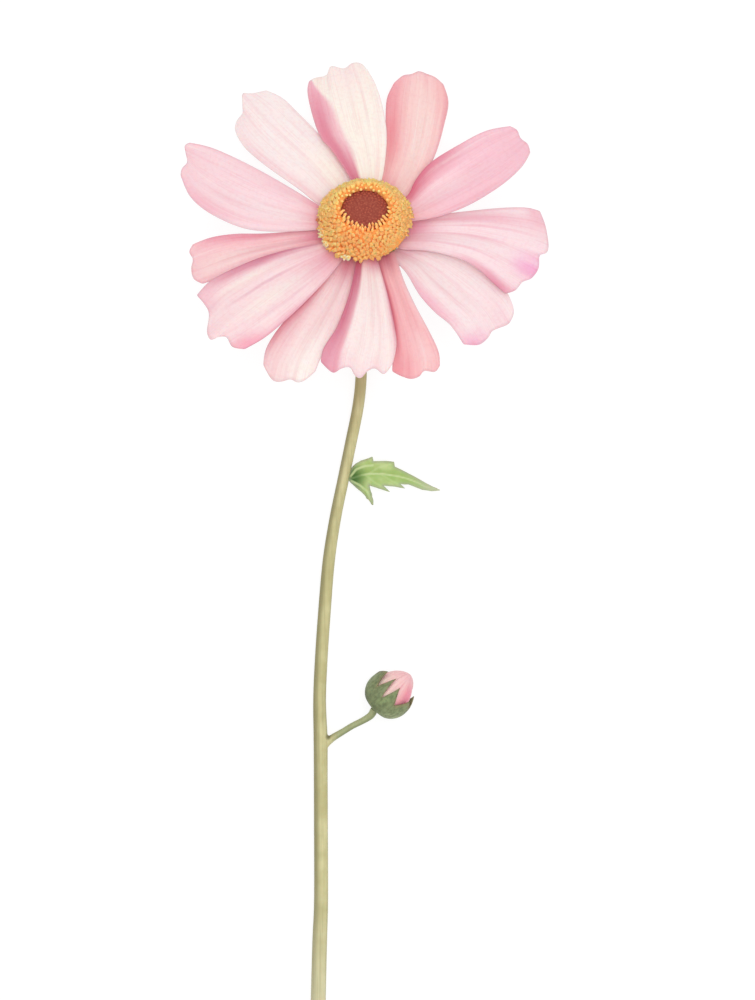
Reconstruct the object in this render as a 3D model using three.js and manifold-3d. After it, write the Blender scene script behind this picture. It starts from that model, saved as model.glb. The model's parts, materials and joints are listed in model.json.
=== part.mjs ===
// A cut daisy-like flower lying on a table: one open bloom, its stem, one leaf and a side bud.
// Millimetres, +Z up. The stem lies along -Y, and the origin is under the middle of the flower.
import * as THREE from "three";
import { mergeVertices } from "three/addons/utils/BufferGeometryUtils.js";
import Module from "manifold-3d";

const wasm = await Module();
wasm.setup();

// ---------- driving dimensions ----------

const BLOOM_PLACE = new THREE.Vector3(0, 67.1, 18.8); // middle of the disc's base
const BLOOM_TILT = THREE.MathUtils.degToRad(29); // lean of the bloom's face from straight up, towards +Y

const PETAL_THICKNESS = 0.75; // along the bloom's axis
const PETAL_ROOT_RADIUS = 7.5; // where a petal's narrow root starts
const PETAL_ROOT_WIDTH = 3.2;
const PETAL_ROWS = 9;
const TIP_SPREAD = 3; // how fast the lobes of the tip fade towards the root
const ROW_GAP = 1.15; // height between the rows of petals at their roots

const DISC_FLOOR = 1.1; // underside of the disc above the top row of petals
const DISC_FLOOR_RADIUS = 8.3;
const WELL_RADIUS = 4.85; // sunken middle of the disc
const WELL_FLOOR = 4.8;
const TOUCH_GAP = 0.3; // between pieces that touch
const FLORET_AREA = 2.3; // surface of the disc taken by one floret
const FLORET_RADIUS = 0.62;
const FLORET_HEIGHT = 1.15;
const FLORET_HEIGHT_SPREAD = 0.2;
const FLORET_TOP_SHARE = 0.45; // a floret's top radius against its root
const FLORET_ROOT_DEPTH = 0.35; // how deep a floret is sunk into the disc
const DISC_SIDES = 20;
const MIDDLE_FLORETS = 18;
const MIDDLE_FLORET_RADIUS = 0.45;
const MIDDLE_FLORET_HEIGHT = 0.95;
const MIDDLE_THICKNESS = 0.85;
const GOLDEN_ANGLE = Math.PI * (3 - Math.sqrt(5));

const BASE_RADIUS = 6.9; // green base inside the petals' roots
const BRACT_COUNT = 8;
const BRACT_REACH = 10.2;
const BRACT_NOTCH = 7.7;

const LEAF_THICKNESS = 0.7;

const BUD_CENTRE = new THREE.Vector3(4.65, -26.8, 5.15);
const BUD_AXIS = new THREE.Vector3(0.72, 0.67, 0.2).normalize();
const BUD_HALF_WIDTH = 3.92;
const BUD_LENGTH_AHEAD = 6.15;
const BUD_LENGTH_BEHIND = 3.02;
const CALYX_THICKNESS = 0.6;
const CALYX_GAP = 0.42;

// ---------- colours ----------

const STEM_GREEN = { color: 0xb9b27a, roughness: 0.62 };
const LEAF_GREEN = { color: 0xa3c275, roughness: 0.6 };
const BASE_GREEN = { color: 0x8fa862, roughness: 0.65 };
const CALYX_GREEN = { color: 0x7d9560, roughness: 0.6 };
const BUD_PINK = { color: 0xf2b3bd, roughness: 0.6 };
const FLORET_YELLOW = { color: 0xf3bd52, roughness: 0.7 };
const MIDDLE_BROWN = { color: 0x96493a, roughness: 0.8 };

// ---------- petals ----------

// Outlines are seen from straight above the lying flower, from the middle of the disc's base.
// left and right are the two sides from root to tip, and tip holds the lobes and notches between.
// row counts the rows down from the disc; rise is degrees; the other values are millimetres:
// arch lifts the middle, droop lowers the tip, cup raises the margins, pleat is the depth of
// the folds, and turn lowers one margin (turnSide -1 left, 1 right) over turnWidth of the width.
const PETALS = [
  {
    left: [[-10.4, -1.2], [-17, -1.5], [-24, -0.85], [-30.6, 2], [-34.8, 5.5], [-36.8, 9.9]],
    tip: [[-36.5, 11.3], [-35.5, 12.5], [-35.8, 14.3], [-36, 15.8]],
    right: [[-9, 3.7], [-15, 7.4], [-22, 11.4], [-28.6, 14.6], [-32, 15.8], [-35.1, 16.4]],
    color: 0xfad7de, row: 0, rise: 3, arch: 1.4, droop: 1.6, cup: 0.5, pleat: 0.3,
  },
  {
    left: [[-9.2, 3.9], [-13.3, 7.1], [-19.9, 11.8], [-23.9, 15.3], [-25.8, 18.4], [-25.8, 20.1]],
    tip: [[-25.4, 21.2], [-24.4, 22.5], [-24.5, 24.5], [-24.5, 26.4], [-22.6, 26.4]],
    right: [[-2.8, 9.3], [-6, 14.6], [-9.2, 18.2], [-13.1, 22.2], [-16.4, 25.4], [-19.8, 27]],
    color: 0xfaebe6, row: 1, rise: 1, arch: 1.2, droop: 1.85, cup: -0.6, pleat: 0.25,
  },
  {
    left: [[-3.2, 9.5], [-6.6, 14.7], [-8.8, 17.3], [-10.3, 21.1], [-11.5, 26.3], [-11.2, 28.8]],
    tip: [[-10, 29.5], [-7.6, 30.1], [-6.8, 31.9], [-4.2, 31.4], [-2.6, 32.5], [-0.8, 32.4]],
    right: [[3.4, 9.1], [4.2, 14.1], [4.3, 19.1], [3.4, 24.3], [2, 28.4], [0.6, 30.7]],
    color: 0xfaebe6, row: 0, rise: 6.5, arch: 0.9, droop: 3.2, cup: 0.2, pleat: 0.25,
    turn: 1.3, turnSide: -1, turnWidth: 0.3,
  },
  {
    left: [[3, 9.1], [3.9, 14.1], [4.1, 18.1], [4.1, 22.1], [4.4, 25.5], [5.8, 28.5]],
    tip: [[7.6, 30], [9.3, 30.3], [10.8, 30.9], [12.5, 30.3], [14, 29.7]],
    right: [[9.2, 6.1], [12.4, 10.6], [14.4, 14.9], [15.8, 19.9], [16.7, 24.5], [15.7, 28.2]],
    color: 0xf8bebe, row: 1, rise: 0, arch: 1.2, droop: 0, cup: 0.7, pleat: 0.25,
  },
  {
    left: [[8.6, 5.9], [10.2, 9.1], [13.2, 12.5], [18.6, 15.9], [24, 18.7], [29, 19.7]],
    tip: [[30.4, 18.9], [31.1, 17.3], [32.5, 16.1]],
    right: [[10.2, 0.7], [15, 1.6], [21.1, 4], [27.2, 7.8], [31.2, 11.4], [33, 14.4]],
    color: 0xf8bed0, row: 0, rise: 6, arch: 1.3, droop: 1.5, cup: 0.4, pleat: 0.3,
  },
  {
    left: [[9.6, 1.2], [15, 2], [21, 2.7], [27, 3.3], [32, 3.4], [34.9, 2.7]],
    tip: [
      [36, -0.3], [36.6, -4.1], [36.2, -5.8], [34.8, -6.2],
      [34.6, -8.8], [33.1, -10.9], [31.4, -11.5], [30, -13.2],
    ],
    right: [[7, -4.9], [13, -5.4], [19, -7], [22.6, -9.1], [25.4, -11.7], [27.9, -13.9]],
    color: 0xf8cdd7, row: 1, rise: 3.5, arch: 1.2, droop: 1.2, cup: -0.5, pleat: 0.35,
  },
  {
    left: [[7.4, -4.4], [13, -4.6], [19, -6.2], [24, -9.2], [28, -13.2], [29.4, -16.3]],
    tip: [[29.6, -17.9], [28.6, -19.9], [26.5, -20.8], [25.3, -21.4], [24.4, -22.8], [22.6, -24.1]],
    right: [[5, -6.6], [8.1, -9.6], [10.8, -14.1], [13.9, -17.6], [17, -20.2], [19.6, -24]],
    color: 0xf8d7de, row: 2, rise: 0.2, arch: 0.6, droop: 0.9, cup: 0.3, pleat: 0.3,
  },
  {
    left: [[6.1, -6], [7.7, -11], [10, -16.1], [12.7, -21.2], [14.6, -25.3], [14.9, -28.2]],
    tip: [[13.9, -29.5], [11.8, -29.3], [10.8, -30.4], [9.1, -30.9], [7.1, -30.3]],
    right: [[2.4, -6.5], [3.1, -10.3], [4.2, -14.5], [5, -19.3], [5.5, -23.9], [5.4, -29.4]],
    color: 0xf8a5ac, row: 1, rise: 0, arch: 1, droop: 0.8, cup: 0.5, pleat: 0.25,
  },
  {
    left: [[2.2, -6.3], [3.8, -11.3], [5, -15.9], [5.9, -20.5], [6.3, -24.1], [5.6, -27.7]],
    tip: [
      [3.8, -30], [2, -28.8], [0.4, -29.5], [-0.8, -30.8],
      [-2, -30.3], [-3, -28.6], [-4.8, -28.9], [-6.4, -29.7],
    ],
    right: [[-1.6, -6.3], [-2.2, -9.9], [-3.4, -14.9], [-5.6, -20.5], [-8.2, -24.7], [-8.8, -27.5]],
    color: 0xfae4e2, row: 0, rise: 4, arch: 1.2, droop: 0.8, cup: 0.1, pleat: 0.3,
    turn: 1.3, turnSide: 1, turnWidth: 0.28,
  },
  {
    left: [[-1.4, -7.3], [-2.5, -12.8], [-4.1, -17.8], [-6.5, -23], [-8.8, -26.9], [-9.8, -29.4]],
    tip: [[-11.8, -31.1], [-13.4, -31.6], [-14.8, -31], [-17, -31.5], [-18.6, -30.9]],
    right: [[-5.2, -6.2], [-7.7, -10.2], [-12.2, -15.4], [-16.9, -20.4], [-19.6, -24.7], [-20.2, -28.1]],
    color: 0xfae0e0, row: 1, rise: 0, arch: 1, droop: 1, cup: 0.3, pleat: 0.3,
  },
  {
    left: [[-4.2, -6.6], [-7.2, -10.6], [-11.4, -15.1], [-15.8, -19.3], [-19.9, -22.7], [-23.9, -25]],
    tip: [
      [-26.4, -24.5], [-27.5, -22.6], [-29.4, -22.6], [-30.6, -23.2],
      [-31.4, -21.5], [-31, -17.9], [-32.1, -15.8],
    ],
    right: [[-9.4, -3.95], [-15, -5], [-20.6, -6.6], [-26, -8.8], [-30.7, -11.25], [-33.5, -14.2]],
    color: 0xfadee0, row: 0, rise: 4, arch: 1.5, droop: 1.2, cup: -0.7, pleat: 0.35,
  },
  {
    left: [[-9.4, -4.1], [-15, -5.4], [-20.6, -7], [-25.4, -9], [-29.4, -10.9], [-32.4, -11.9]],
    tip: [[-34.1, -10.9], [-34.6, -8.9], [-34.3, -7], [-35, -5.5]],
    right: [[-9.8, -1.15], [-15, -1.5], [-20.4, -1.85], [-25.8, -1.9], [-30.6, -2.6], [-34.3, -4]],
    color: 0xf8bec3, row: 1, rise: 0, arch: 1, droop: 0.6, cup: 0.6, pleat: 0.25,
  },
];

// ---------- leaf, stem, stalk ----------

// The leaf's cross rows from the stem to the tip, seen from above: upper margin, midrib, lower
// margin and the height of the midrib. Teeth are where the margins step out and back.
const LEAF_ROWS = [
  { upper: [-2.75, 16.95], rib: [-2.8, 16.45], lower: [-2.85, 15.95], height: 1.5 },
  { upper: [-2.3, 18.5], rib: [-1.7, 16.8], lower: [-1.7, 15], height: 2 },
  { upper: [-1, 19.8], rib: [-0.7, 17.2], lower: [0, 13.5], height: 2.4 },
  { upper: [1.5, 20.8], rib: [0.5, 17.45], lower: [1.6, 11.3], height: 2.7 },
  { upper: [1.9, 20], rib: [1.7, 17.5], lower: [1, 14.9], height: 2.9 },
  { upper: [3.8, 19.9], rib: [3.5, 17.4], lower: [5, 13.7], height: 3 },
  { upper: [6, 19.7], rib: [5, 17.2], lower: [3.9, 15.2], height: 3 },
  { upper: [6.1, 18.8], rib: [6.3, 17], lower: [7.9, 14.6], height: 2.9 },
  { upper: [8.6, 17.6], rib: [8.2, 16.6], lower: [7.7, 15.4], height: 2.6 },
  { upper: [11.7, 15.9], rib: [11.6, 15.1], lower: [11.7, 14.2], height: 1.8 },
  { upper: [15.2, 14.4], rib: [15.1, 14.2], lower: [15, 14], height: 0.75 },
];
const LEAF_FOLD = 0.9; // how far the margins sink below the midrib

// The stem's middle line from the bloom's base to the cut end: seen from above, height, thickness.
const STEM_STATIONS = [
  { at: [0, 63.9], height: 13.02, thickness: 3 },
  { at: [0, 62.7], height: 10.8, thickness: 2.5 },
  { at: [-0.1, 60.1], height: 7, thickness: 2.3 },
  { at: [-0.25, 55.6], height: 3.8, thickness: 2.2 },
  { at: [-0.5, 49.2], height: 2.1, thickness: 2.2 },
  { at: [-0.7, 42], height: 1.35, thickness: 2.2 },
  { at: [-0.84, 35.8], height: 1.13, thickness: 2.2 },
  { at: [-1.37, 31], height: 1.15, thickness: 2.24 },
  { at: [-2.84, 23.6], height: 1.15, thickness: 2.24 },
  { at: [-4.33, 16.4], height: 1.14, thickness: 2.22 },
  { at: [-5.84, 9.1], height: 1.15, thickness: 2.24 },
  { at: [-7.18, 0.6], height: 1.22, thickness: 2.38 },
  { at: [-8.1, -10], height: 1.26, thickness: 2.46 },
  { at: [-8.78, -20.2], height: 1.27, thickness: 2.48 },
  { at: [-9.08, -27.8], height: 1.27, thickness: 2.48 },
  { at: [-8.88, -35.6], height: 1.4, thickness: 2.75 },
  { at: [-8.85, -42.4], height: 1.38, thickness: 2.7 },
  { at: [-8.8, -55.8], height: 1.38, thickness: 2.7 },
  { at: [-8.8, -69], height: 1.4, thickness: 2.74 },
  { at: [-9.04, -75.6], height: 1.47, thickness: 2.88 },
  { at: [-9.34, -87.6], height: 1.5, thickness: 2.94 },
  { at: [-9.6, -99.6], height: 1.5, thickness: 2.94 },
];
const STEM_SIDES = 10;
const STEM_STEPS = 56;

const STALK_STATIONS = [
  { at: [-9.1, -38.6], height: 1.3, thickness: 1.9 },
  { at: [-8.2, -36.6], height: 1.4, thickness: 1.75 },
  { at: [-6.55, -35.4], height: 1.75, thickness: 1.35 },
  { at: [-4.25, -34], height: 2.3, thickness: 1.15 },
  { at: [-2.55, -32.95], height: 2.75, thickness: 1.15 },
  { at: [-0.95, -32.15], height: 3.05, thickness: 1.2 },
  { at: [0.4, -31.4], height: 3.45, thickness: 1.3 },
  { at: [1.25, -30.75], height: 3.87, thickness: 1.4 },
  { at: [1.8, -29.95], height: 4.25, thickness: 1.4 },
];
const STALK_SIDES = 8;
const STALK_STEPS = 14;

// The yellow disc in half section: distance from the axis, height over its base.
const DISC_SECTION = [
  [5, 6.35],
  [5.5, 6.55],
  [6.8, 5.45],
  [8.3, 3.4],
  [9.15, 1.95],
];

// The rim of the calyx round the bud's axis: turn in degrees (90 faces up) and the share of the
// bud's length ahead that it reaches, at each pointed sepal and at each notch between them.
const CALYX_RIM = [
  { turn: 0, reach: 0.25 },
  { turn: 30, reach: 0.52 },
  { turn: 52.5, reach: 0.05 },
  { turn: 67.5, reach: 0.62 },
  { turn: 82.5, reach: -0.08 },
  { turn: 97.5, reach: 0.53 },
  { turn: 120, reach: 0.04 },
  { turn: 150, reach: 0.39 },
  { turn: 180, reach: 0.06 },
  { turn: 210, reach: 0.46 },
  { turn: 232.5, reach: 0.05 },
  { turn: 262.5, reach: 0.5 },
  { turn: 285, reach: 0.05 },
  { turn: 315, reach: 0.46 },
  { turn: 337.5, reach: 0.06 },
  { turn: 360, reach: 0.25 },
];
const CALYX_SIDES = 48;

// ---------- helpers ----------

function material({ color, roughness }) {
  return new THREE.MeshStandardMaterial({ color, roughness, metalness: 0 });
}

function addMesh(group, name, geometry, look) {
  const mesh = new THREE.Mesh(geometry, material(look));
  mesh.name = name;
  group.add(mesh);
}

function geometryOf(points, triangles) {
  const geometry = new THREE.BufferGeometry().setFromPoints(points);
  geometry.setIndex(triangles);
  return geometry;
}

function solidOf(geometry) {
  const bare = new THREE.BufferGeometry();
  bare.setAttribute("position", geometry.getAttribute("position"));
  bare.setIndex(geometry.getIndex());
  const merged = mergeVertices(bare, 1e-4);
  const vertProperties = new Float32Array(merged.getAttribute("position").array);
  const triVerts = new Uint32Array(merged.getIndex().array);
  return new wasm.Manifold(new wasm.Mesh({ numProp: 3, vertProperties, triVerts }));
}

function geometryOfSolid(solid) {
  const mesh = solid.getMesh();
  const geometry = new THREE.BufferGeometry();
  geometry.setAttribute("position", new THREE.BufferAttribute(mesh.vertProperties, 3));
  geometry.setIndex(new THREE.BufferAttribute(mesh.triVerts, 1));
  return geometry;
}

// One closed blade: a grid of middle points, thickened along one direction, cut into triangles
// alike on both faces.
function bladeGeometry(grid, thickness, direction) {
  const rows = grid.length;
  const columns = grid[0].length;
  const half = direction.clone().multiplyScalar(thickness / 2);
  const flat = grid.flat();
  const points = flat.map((p) => p.clone().add(half)).concat(flat.map((p) => p.clone().sub(half)));
  const under = rows * columns;
  const triangles = [];
  for (let i = 0; i < rows - 1; i++) {
    for (let j = 0; j < columns - 1; j++) {
      const a = i * columns + j;
      const b = a + 1;
      const c = b + columns;
      const d = a + columns;
      triangles.push(a, b, c, a, c, d);
      triangles.push(under + a, under + c, under + b, under + a, under + d, under + c);
    }
  }
  const edge = [];
  for (let j = 0; j < columns - 1; j++) edge.push(j);
  for (let i = 0; i < rows - 1; i++) edge.push(i * columns + columns - 1);
  for (let j = columns - 1; j > 0; j--) edge.push((rows - 1) * columns + j);
  for (let i = rows - 1; i > 0; i--) edge.push(i * columns);
  edge.forEach((a, k) => {
    const b = edge[(k + 1) % edge.length];
    triangles.push(under + a, under + b, b, under + a, b, a);
  });
  return geometryOf(points, triangles);
}

// One closed body of rings between two end points: ringPoint(k, turn) for each ring.
function ringedGeometry(start, end, rings, sides, ringPoint) {
  const points = [start];
  for (let k = 0; k < rings; k++) {
    for (let j = 0; j < sides; j++) points.push(ringPoint(k, (2 * Math.PI * j) / sides));
  }
  points.push(end);
  const last = points.length - 1;
  const at = (k, j) => 1 + k * sides + (j % sides);
  const triangles = [];
  for (let j = 0; j < sides; j++) {
    triangles.push(0, at(0, j + 1), at(0, j));
    triangles.push(last, at(rings - 1, j), at(rings - 1, j + 1));
    for (let k = 0; k < rings - 1; k++) {
      triangles.push(at(k, j), at(k, j + 1), at(k + 1, j + 1));
      triangles.push(at(k, j), at(k + 1, j + 1), at(k + 1, j));
    }
  }
  return geometryOf(points, triangles);
}

function valueAlong(values, share) {
  const place = share * (values.length - 1);
  const index = Math.min(Math.floor(place), values.length - 2);
  return THREE.MathUtils.lerp(values[index], values[index + 1], place - index);
}

// A round stem along its stations, closed at both ends.
function stemGeometry(stations, sides, steps) {
  const curve = new THREE.CatmullRomCurve3(
    stations.map(({ at, height }) => new THREE.Vector3(at[0], at[1], height)),
    false,
    "centripetal",
  );
  const frames = [];
  for (let k = 0; k <= steps; k++) {
    const centre = curve.getPoint(k / steps);
    const along = curve.getTangent(k / steps);
    const side = new THREE.Vector3().crossVectors(along, new THREE.Vector3(0, 0, 1)).normalize();
    const up = new THREE.Vector3().crossVectors(along, side).normalize();
    const radius = valueAlong(stations.map((s) => s.thickness), k / steps) / 2;
    frames.push({ centre, side, up, radius });
  }
  return ringedGeometry(frames[0].centre, frames[steps].centre, steps + 1, sides, (k, turn) => {
    const { centre, side, up, radius } = frames[k];
    return centre
      .clone()
      .addScaledVector(side, radius * Math.cos(turn))
      .addScaledVector(up, radius * Math.sin(turn));
  });
}

// ---------- petals ----------

// A point over the bloom's face that lies at x, y seen from straight above.
function overBloom(x, y, height) {
  const v = (y - height * Math.sin(BLOOM_TILT)) / Math.cos(BLOOM_TILT);
  return new THREE.Vector3(x, v, height);
}

function sideCurve(root, side) {
  return new THREE.SplineCurve([root, ...side.map(([x, y]) => new THREE.Vector2(x, y))]);
}

function petalHeight(petal, s, t, distance) {
  const across = 2 * t - 1;
  const body = Math.max(0, Math.sin(Math.PI * Math.min(1, s * 1.1))) ** 1.2;
  const spread = s * s * (3 - 2 * s);
  let height = -petal.row * ROW_GAP;
  height += (distance - PETAL_ROOT_RADIUS) * Math.tan(THREE.MathUtils.degToRad(petal.rise));
  height += petal.arch * Math.sin(Math.PI * s) - petal.droop * s ** 3;
  height += petal.cup * across * across * spread;
  height -= petal.pleat * Math.cos(2 * Math.PI * across) * body;
  if (petal.turn) {
    const inside = petal.turnSide < 0 ? t : 1 - t;
    height -= petal.turn * Math.max(0, 1 - inside / petal.turnWidth) * Math.min(1, s * 2) ** 2;
  }
  return height;
}

function petalGeometry(petal) {
  const middle = new THREE.Vector2(
    petal.left[0][0] + petal.right[0][0],
    (petal.left[0][1] + petal.right[0][1]) / Math.cos(BLOOM_TILT),
  ).normalize();
  const rootHeight = -petal.row * ROW_GAP;
  const rootAt = (side) => {
    const u = middle.x * PETAL_ROOT_RADIUS - (side * middle.y * PETAL_ROOT_WIDTH) / 2;
    const v = middle.y * PETAL_ROOT_RADIUS + (side * middle.x * PETAL_ROOT_WIDTH) / 2;
    return new THREE.Vector2(u, v * Math.cos(BLOOM_TILT) + rootHeight * Math.sin(BLOOM_TILT));
  };
  const left = sideCurve(rootAt(1), petal.left);
  const right = sideCurve(rootAt(-1), petal.right);
  const ends = [petal.left.at(-1), ...petal.tip, petal.right.at(-1)];
  const tipCurve = new THREE.SplineCurve(ends.map(([x, y]) => new THREE.Vector2(x, y)));
  const columns = (ends.length - 1) * (ends.length < 8 ? 2 : 1);
  const tip = Array.from({ length: columns + 1 }, (_, j) => tipCurve.getPoint(j / columns));
  const walked = [0];
  for (let j = 1; j <= columns; j++) walked.push(walked[j - 1] + tip[j].distanceTo(tip[j - 1]));
  const grid = [];
  for (let i = 0; i <= PETAL_ROWS; i++) {
    const s = i / PETAL_ROWS;
    const l = left.getPointAt(s);
    const r = right.getPointAt(s);
    const row = tip.map((tipPoint, j) => {
      const t = walked[j] / walked[columns];
      const end = new THREE.Vector2().lerpVectors(tip[0], tip[columns], t);
      const p = new THREE.Vector2().lerpVectors(l, r, t);
      p.addScaledVector(tipPoint.clone().sub(end), s ** TIP_SPREAD);
      const distance = Math.hypot(p.x, p.y / Math.cos(BLOOM_TILT));
      return overBloom(p.x, p.y, petalHeight(petal, s, t, distance));
    });
    grid.push(row);
  }
  return bladeGeometry(grid, PETAL_THICKNESS, new THREE.Vector3(0, 0, 1));
}

// ---------- disc ----------

// A small pointed knob with its root under the surface, standing along a direction.
function knobSolid(at, direction, radius, height, sides) {
  const knob = new THREE.CylinderGeometry(radius * FLORET_TOP_SHARE, radius, height, sides);
  knob.translate(0, height / 2 - FLORET_ROOT_DEPTH, 0);
  const turn = new THREE.Quaternion().setFromUnitVectors(new THREE.Vector3(0, 1, 0), direction);
  knob.applyQuaternion(turn);
  knob.translate(at.x, at.y, at.z);
  return solidOf(knob);
}

function latheGeometry(section, sides) {
  const profile = section.map(([radius, height]) => new THREE.Vector2(radius, height));
  return new THREE.LatheGeometry(profile, sides).rotateX(Math.PI / 2);
}

function discFlorets() {
  const body = latheGeometry(
    [
      [0, DISC_FLOOR],
      [DISC_FLOOR_RADIUS, DISC_FLOOR],
      ...DISC_SECTION.toReversed(),
      [WELL_RADIUS, WELL_FLOOR],
      [0, WELL_FLOOR],
    ],
    DISC_SIDES,
  );
  const curve = new THREE.SplineCurve(DISC_SECTION.map(([r, h]) => new THREE.Vector2(r, h)));
  const length = curve.getLength();
  let solid = solidOf(body);
  let walked = 0;
  for (let n = 0; walked < length; n++) {
    const share = walked / length;
    const section = curve.getPointAt(share);
    const tangent = curve.getTangentAt(share);
    const turn = n * GOLDEN_ANGLE;
    const outward = new THREE.Vector3(Math.cos(turn), Math.sin(turn), 0);
    const normal = outward.clone().multiplyScalar(-tangent.y).setZ(tangent.x).normalize();
    const at = outward.clone().multiplyScalar(section.x).setZ(section.y);
    const height = FLORET_HEIGHT + FLORET_HEIGHT_SPREAD * Math.sin(n);
    solid = solid.add(knobSolid(at, normal, FLORET_RADIUS, height, 4));
    walked += FLORET_AREA / (2 * Math.PI * section.x);
  }
  return geometryOfSolid(solid);
}

function discMiddle() {
  const rim = WELL_RADIUS - TOUCH_GAP;
  const floor = WELL_FLOOR + TOUCH_GAP;
  const top = floor + MIDDLE_THICKNESS;
  const body = latheGeometry(
    [
      [0, floor],
      [rim, floor],
      [rim, top - 0.35],
      [rim - 0.8, top],
      [0, top - 0.25],
    ],
    DISC_SIDES,
  );
  let solid = solidOf(body);
  for (let n = 0; n < MIDDLE_FLORETS; n++) {
    const radius = (rim - 0.55) * Math.sqrt((n + 0.5) / MIDDLE_FLORETS);
    const turn = n * GOLDEN_ANGLE;
    const at = new THREE.Vector3(radius * Math.cos(turn), radius * Math.sin(turn), top - 0.2);
    const up = new THREE.Vector3(0, 0, 1);
    solid = solid.add(knobSolid(at, up, MIDDLE_FLORET_RADIUS, MIDDLE_FLORET_HEIGHT, 4));
  }
  return geometryOfSolid(solid);
}

// ---------- green base of the bloom ----------

// A solid cup whose rim runs out into pointed bracts under the petals, with the round core that
// the disc sits on.
function baseGeometry() {
  const low = -2 * ROW_GAP - PETAL_THICKNESS / 2 - 0.6;
  const sides = BRACT_COUNT * 6;
  const reach = (turn) => {
    const phase = Math.abs((((turn * BRACT_COUNT) / (2 * Math.PI)) % 1) - 0.5) * 2;
    return BRACT_NOTCH + (BRACT_REACH - BRACT_NOTCH) * phase ** 1.4;
  };
  const ringPoint = (k, turn) => {
    const out = reach(turn);
    const rings = [
      [1.7, low - 3],
      [3.2, low - 2.2],
      [5.4, low - 1.2],
      [out * 0.85, low - 1.05],
      [out, low - 1.3],
      [out, low - 0.65],
      [out * 0.85, low - 0.35],
      [BASE_RADIUS, low - 0.1],
      [BASE_RADIUS, DISC_FLOOR - TOUCH_GAP - 0.3],
      [BASE_RADIUS - 0.4, DISC_FLOOR - TOUCH_GAP],
    ];
    const [radius, height] = rings[k];
    return new THREE.Vector3(radius * Math.cos(turn), radius * Math.sin(turn), height);
  };
  const bottom = new THREE.Vector3(0, 0, low - 3);
  const top = new THREE.Vector3(0, 0, DISC_FLOOR - TOUCH_GAP);
  return ringedGeometry(bottom, top, 10, sides, ringPoint);
}

// ---------- leaf ----------

function leafGeometry() {
  const grid = LEAF_ROWS.map(({ upper, rib, lower, height }) => {
    const at = ([x, y], drop) => new THREE.Vector3(x, y, height - drop);
    const [u, m, l] = [at(upper, LEAF_FOLD), at(rib, 0), at(lower, LEAF_FOLD)];
    if (height < 1) [u, l].forEach((p) => p.setZ(height - 0.2));
    if (height > 1 && height < 2) [u, l].forEach((p) => p.setZ(height - LEAF_FOLD * 0.6));
    const half = (a, b) => new THREE.Vector3().lerpVectors(a, b, 0.5).setZ(b.z * 0.4 + a.z * 0.6);
    return [u, half(m, u), m, half(m, l), l];
  });
  return bladeGeometry(grid, LEAF_THICKNESS, new THREE.Vector3(0, 0, 1));
}

// ---------- bud ----------

// A point of the bud: along runs from -1 at the stalk to 1 at the top.
function budPoint(along, turn, swell) {
  const length = along > 0 ? BUD_LENGTH_AHEAD : BUD_LENGTH_BEHIND;
  const taper = along > 0 ? 0.62 : 0.5;
  const profile = Math.max(0, 1 - along * along) ** taper;
  const radius = BUD_HALF_WIDTH * profile + swell * Math.min(1, 2 * profile);
  return new THREE.Vector3(
    radius * Math.cos(turn),
    radius * Math.sin(turn),
    along * (length + swell),
  );
}

function budPetals() {
  const rings = 9;
  const folds = 5;
  const ringPoint = (k, turn) => {
    const angle = (Math.PI * (k + 1)) / (rings + 1);
    const along = -Math.cos(angle);
    const phase = ((turn * folds) / (2 * Math.PI) + 0.35 * along + 10) % 1;
    const step = 0.35 * phase * Math.max(0, along + 0.3);
    return budPoint(along, turn, -step);
  };
  const start = new THREE.Vector3(0, 0, -BUD_LENGTH_BEHIND);
  const end = new THREE.Vector3(0, 0, BUD_LENGTH_AHEAD);
  return ringedGeometry(start, end, rings, folds * 5, ringPoint);
}

// How far the calyx reaches towards the top at a turn round the axis, straight between its points.
function calyxReach(turn) {
  const degrees = THREE.MathUtils.radToDeg(turn);
  const next = CALYX_RIM.findIndex((point) => point.turn > degrees);
  const [a, b] = [CALYX_RIM[next - 1], CALYX_RIM[next]];
  return THREE.MathUtils.mapLinear(degrees, a.turn, b.turn, a.reach, b.reach);
}

function budCalyx() {
  const layers = 5;
  const ringPoint = (k, turn) => {
    const outside = k < layers;
    const step = outside ? (k + 1) / layers : (2 * layers - k) / layers;
    const angle = Math.acos(-calyxReach(turn)) * step;
    const swell = CALYX_GAP + (outside ? CALYX_THICKNESS : 0);
    return budPoint(-Math.cos(angle), turn, swell);
  };
  const bottom = new THREE.Vector3(0, 0, -BUD_LENGTH_BEHIND - CALYX_GAP - CALYX_THICKNESS);
  const inner = new THREE.Vector3(0, 0, -BUD_LENGTH_BEHIND - CALYX_GAP);
  return ringedGeometry(bottom, inner, 2 * layers, CALYX_SIDES, ringPoint);
}

// ---------- the flower ----------

const flower = new THREE.Group();

const stem = solidOf(stemGeometry(STEM_STATIONS, STEM_SIDES, STEM_STEPS));
const stalk = solidOf(stemGeometry(STALK_STATIONS, STALK_SIDES, STALK_STEPS));
addMesh(flower, "stem", geometryOfSolid(stem.add(stalk)), STEM_GREEN);
addMesh(flower, "leaf", leafGeometry(), LEAF_GREEN);

const bloom = new THREE.Group();
bloom.position.copy(BLOOM_PLACE);
bloom.rotation.x = -BLOOM_TILT;
flower.add(bloom);
addMesh(bloom, "involucre", baseGeometry(), BASE_GREEN);
PETALS.forEach((petal, index) => {
  const name = "petal_" + String(index + 1).padStart(2, "0");
  addMesh(bloom, name, petalGeometry(petal), { color: petal.color, roughness: 0.55 });
});
addMesh(bloom, "disc_florets", discFlorets(), FLORET_YELLOW);
addMesh(bloom, "disc_centre", discMiddle(), MIDDLE_BROWN);

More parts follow.
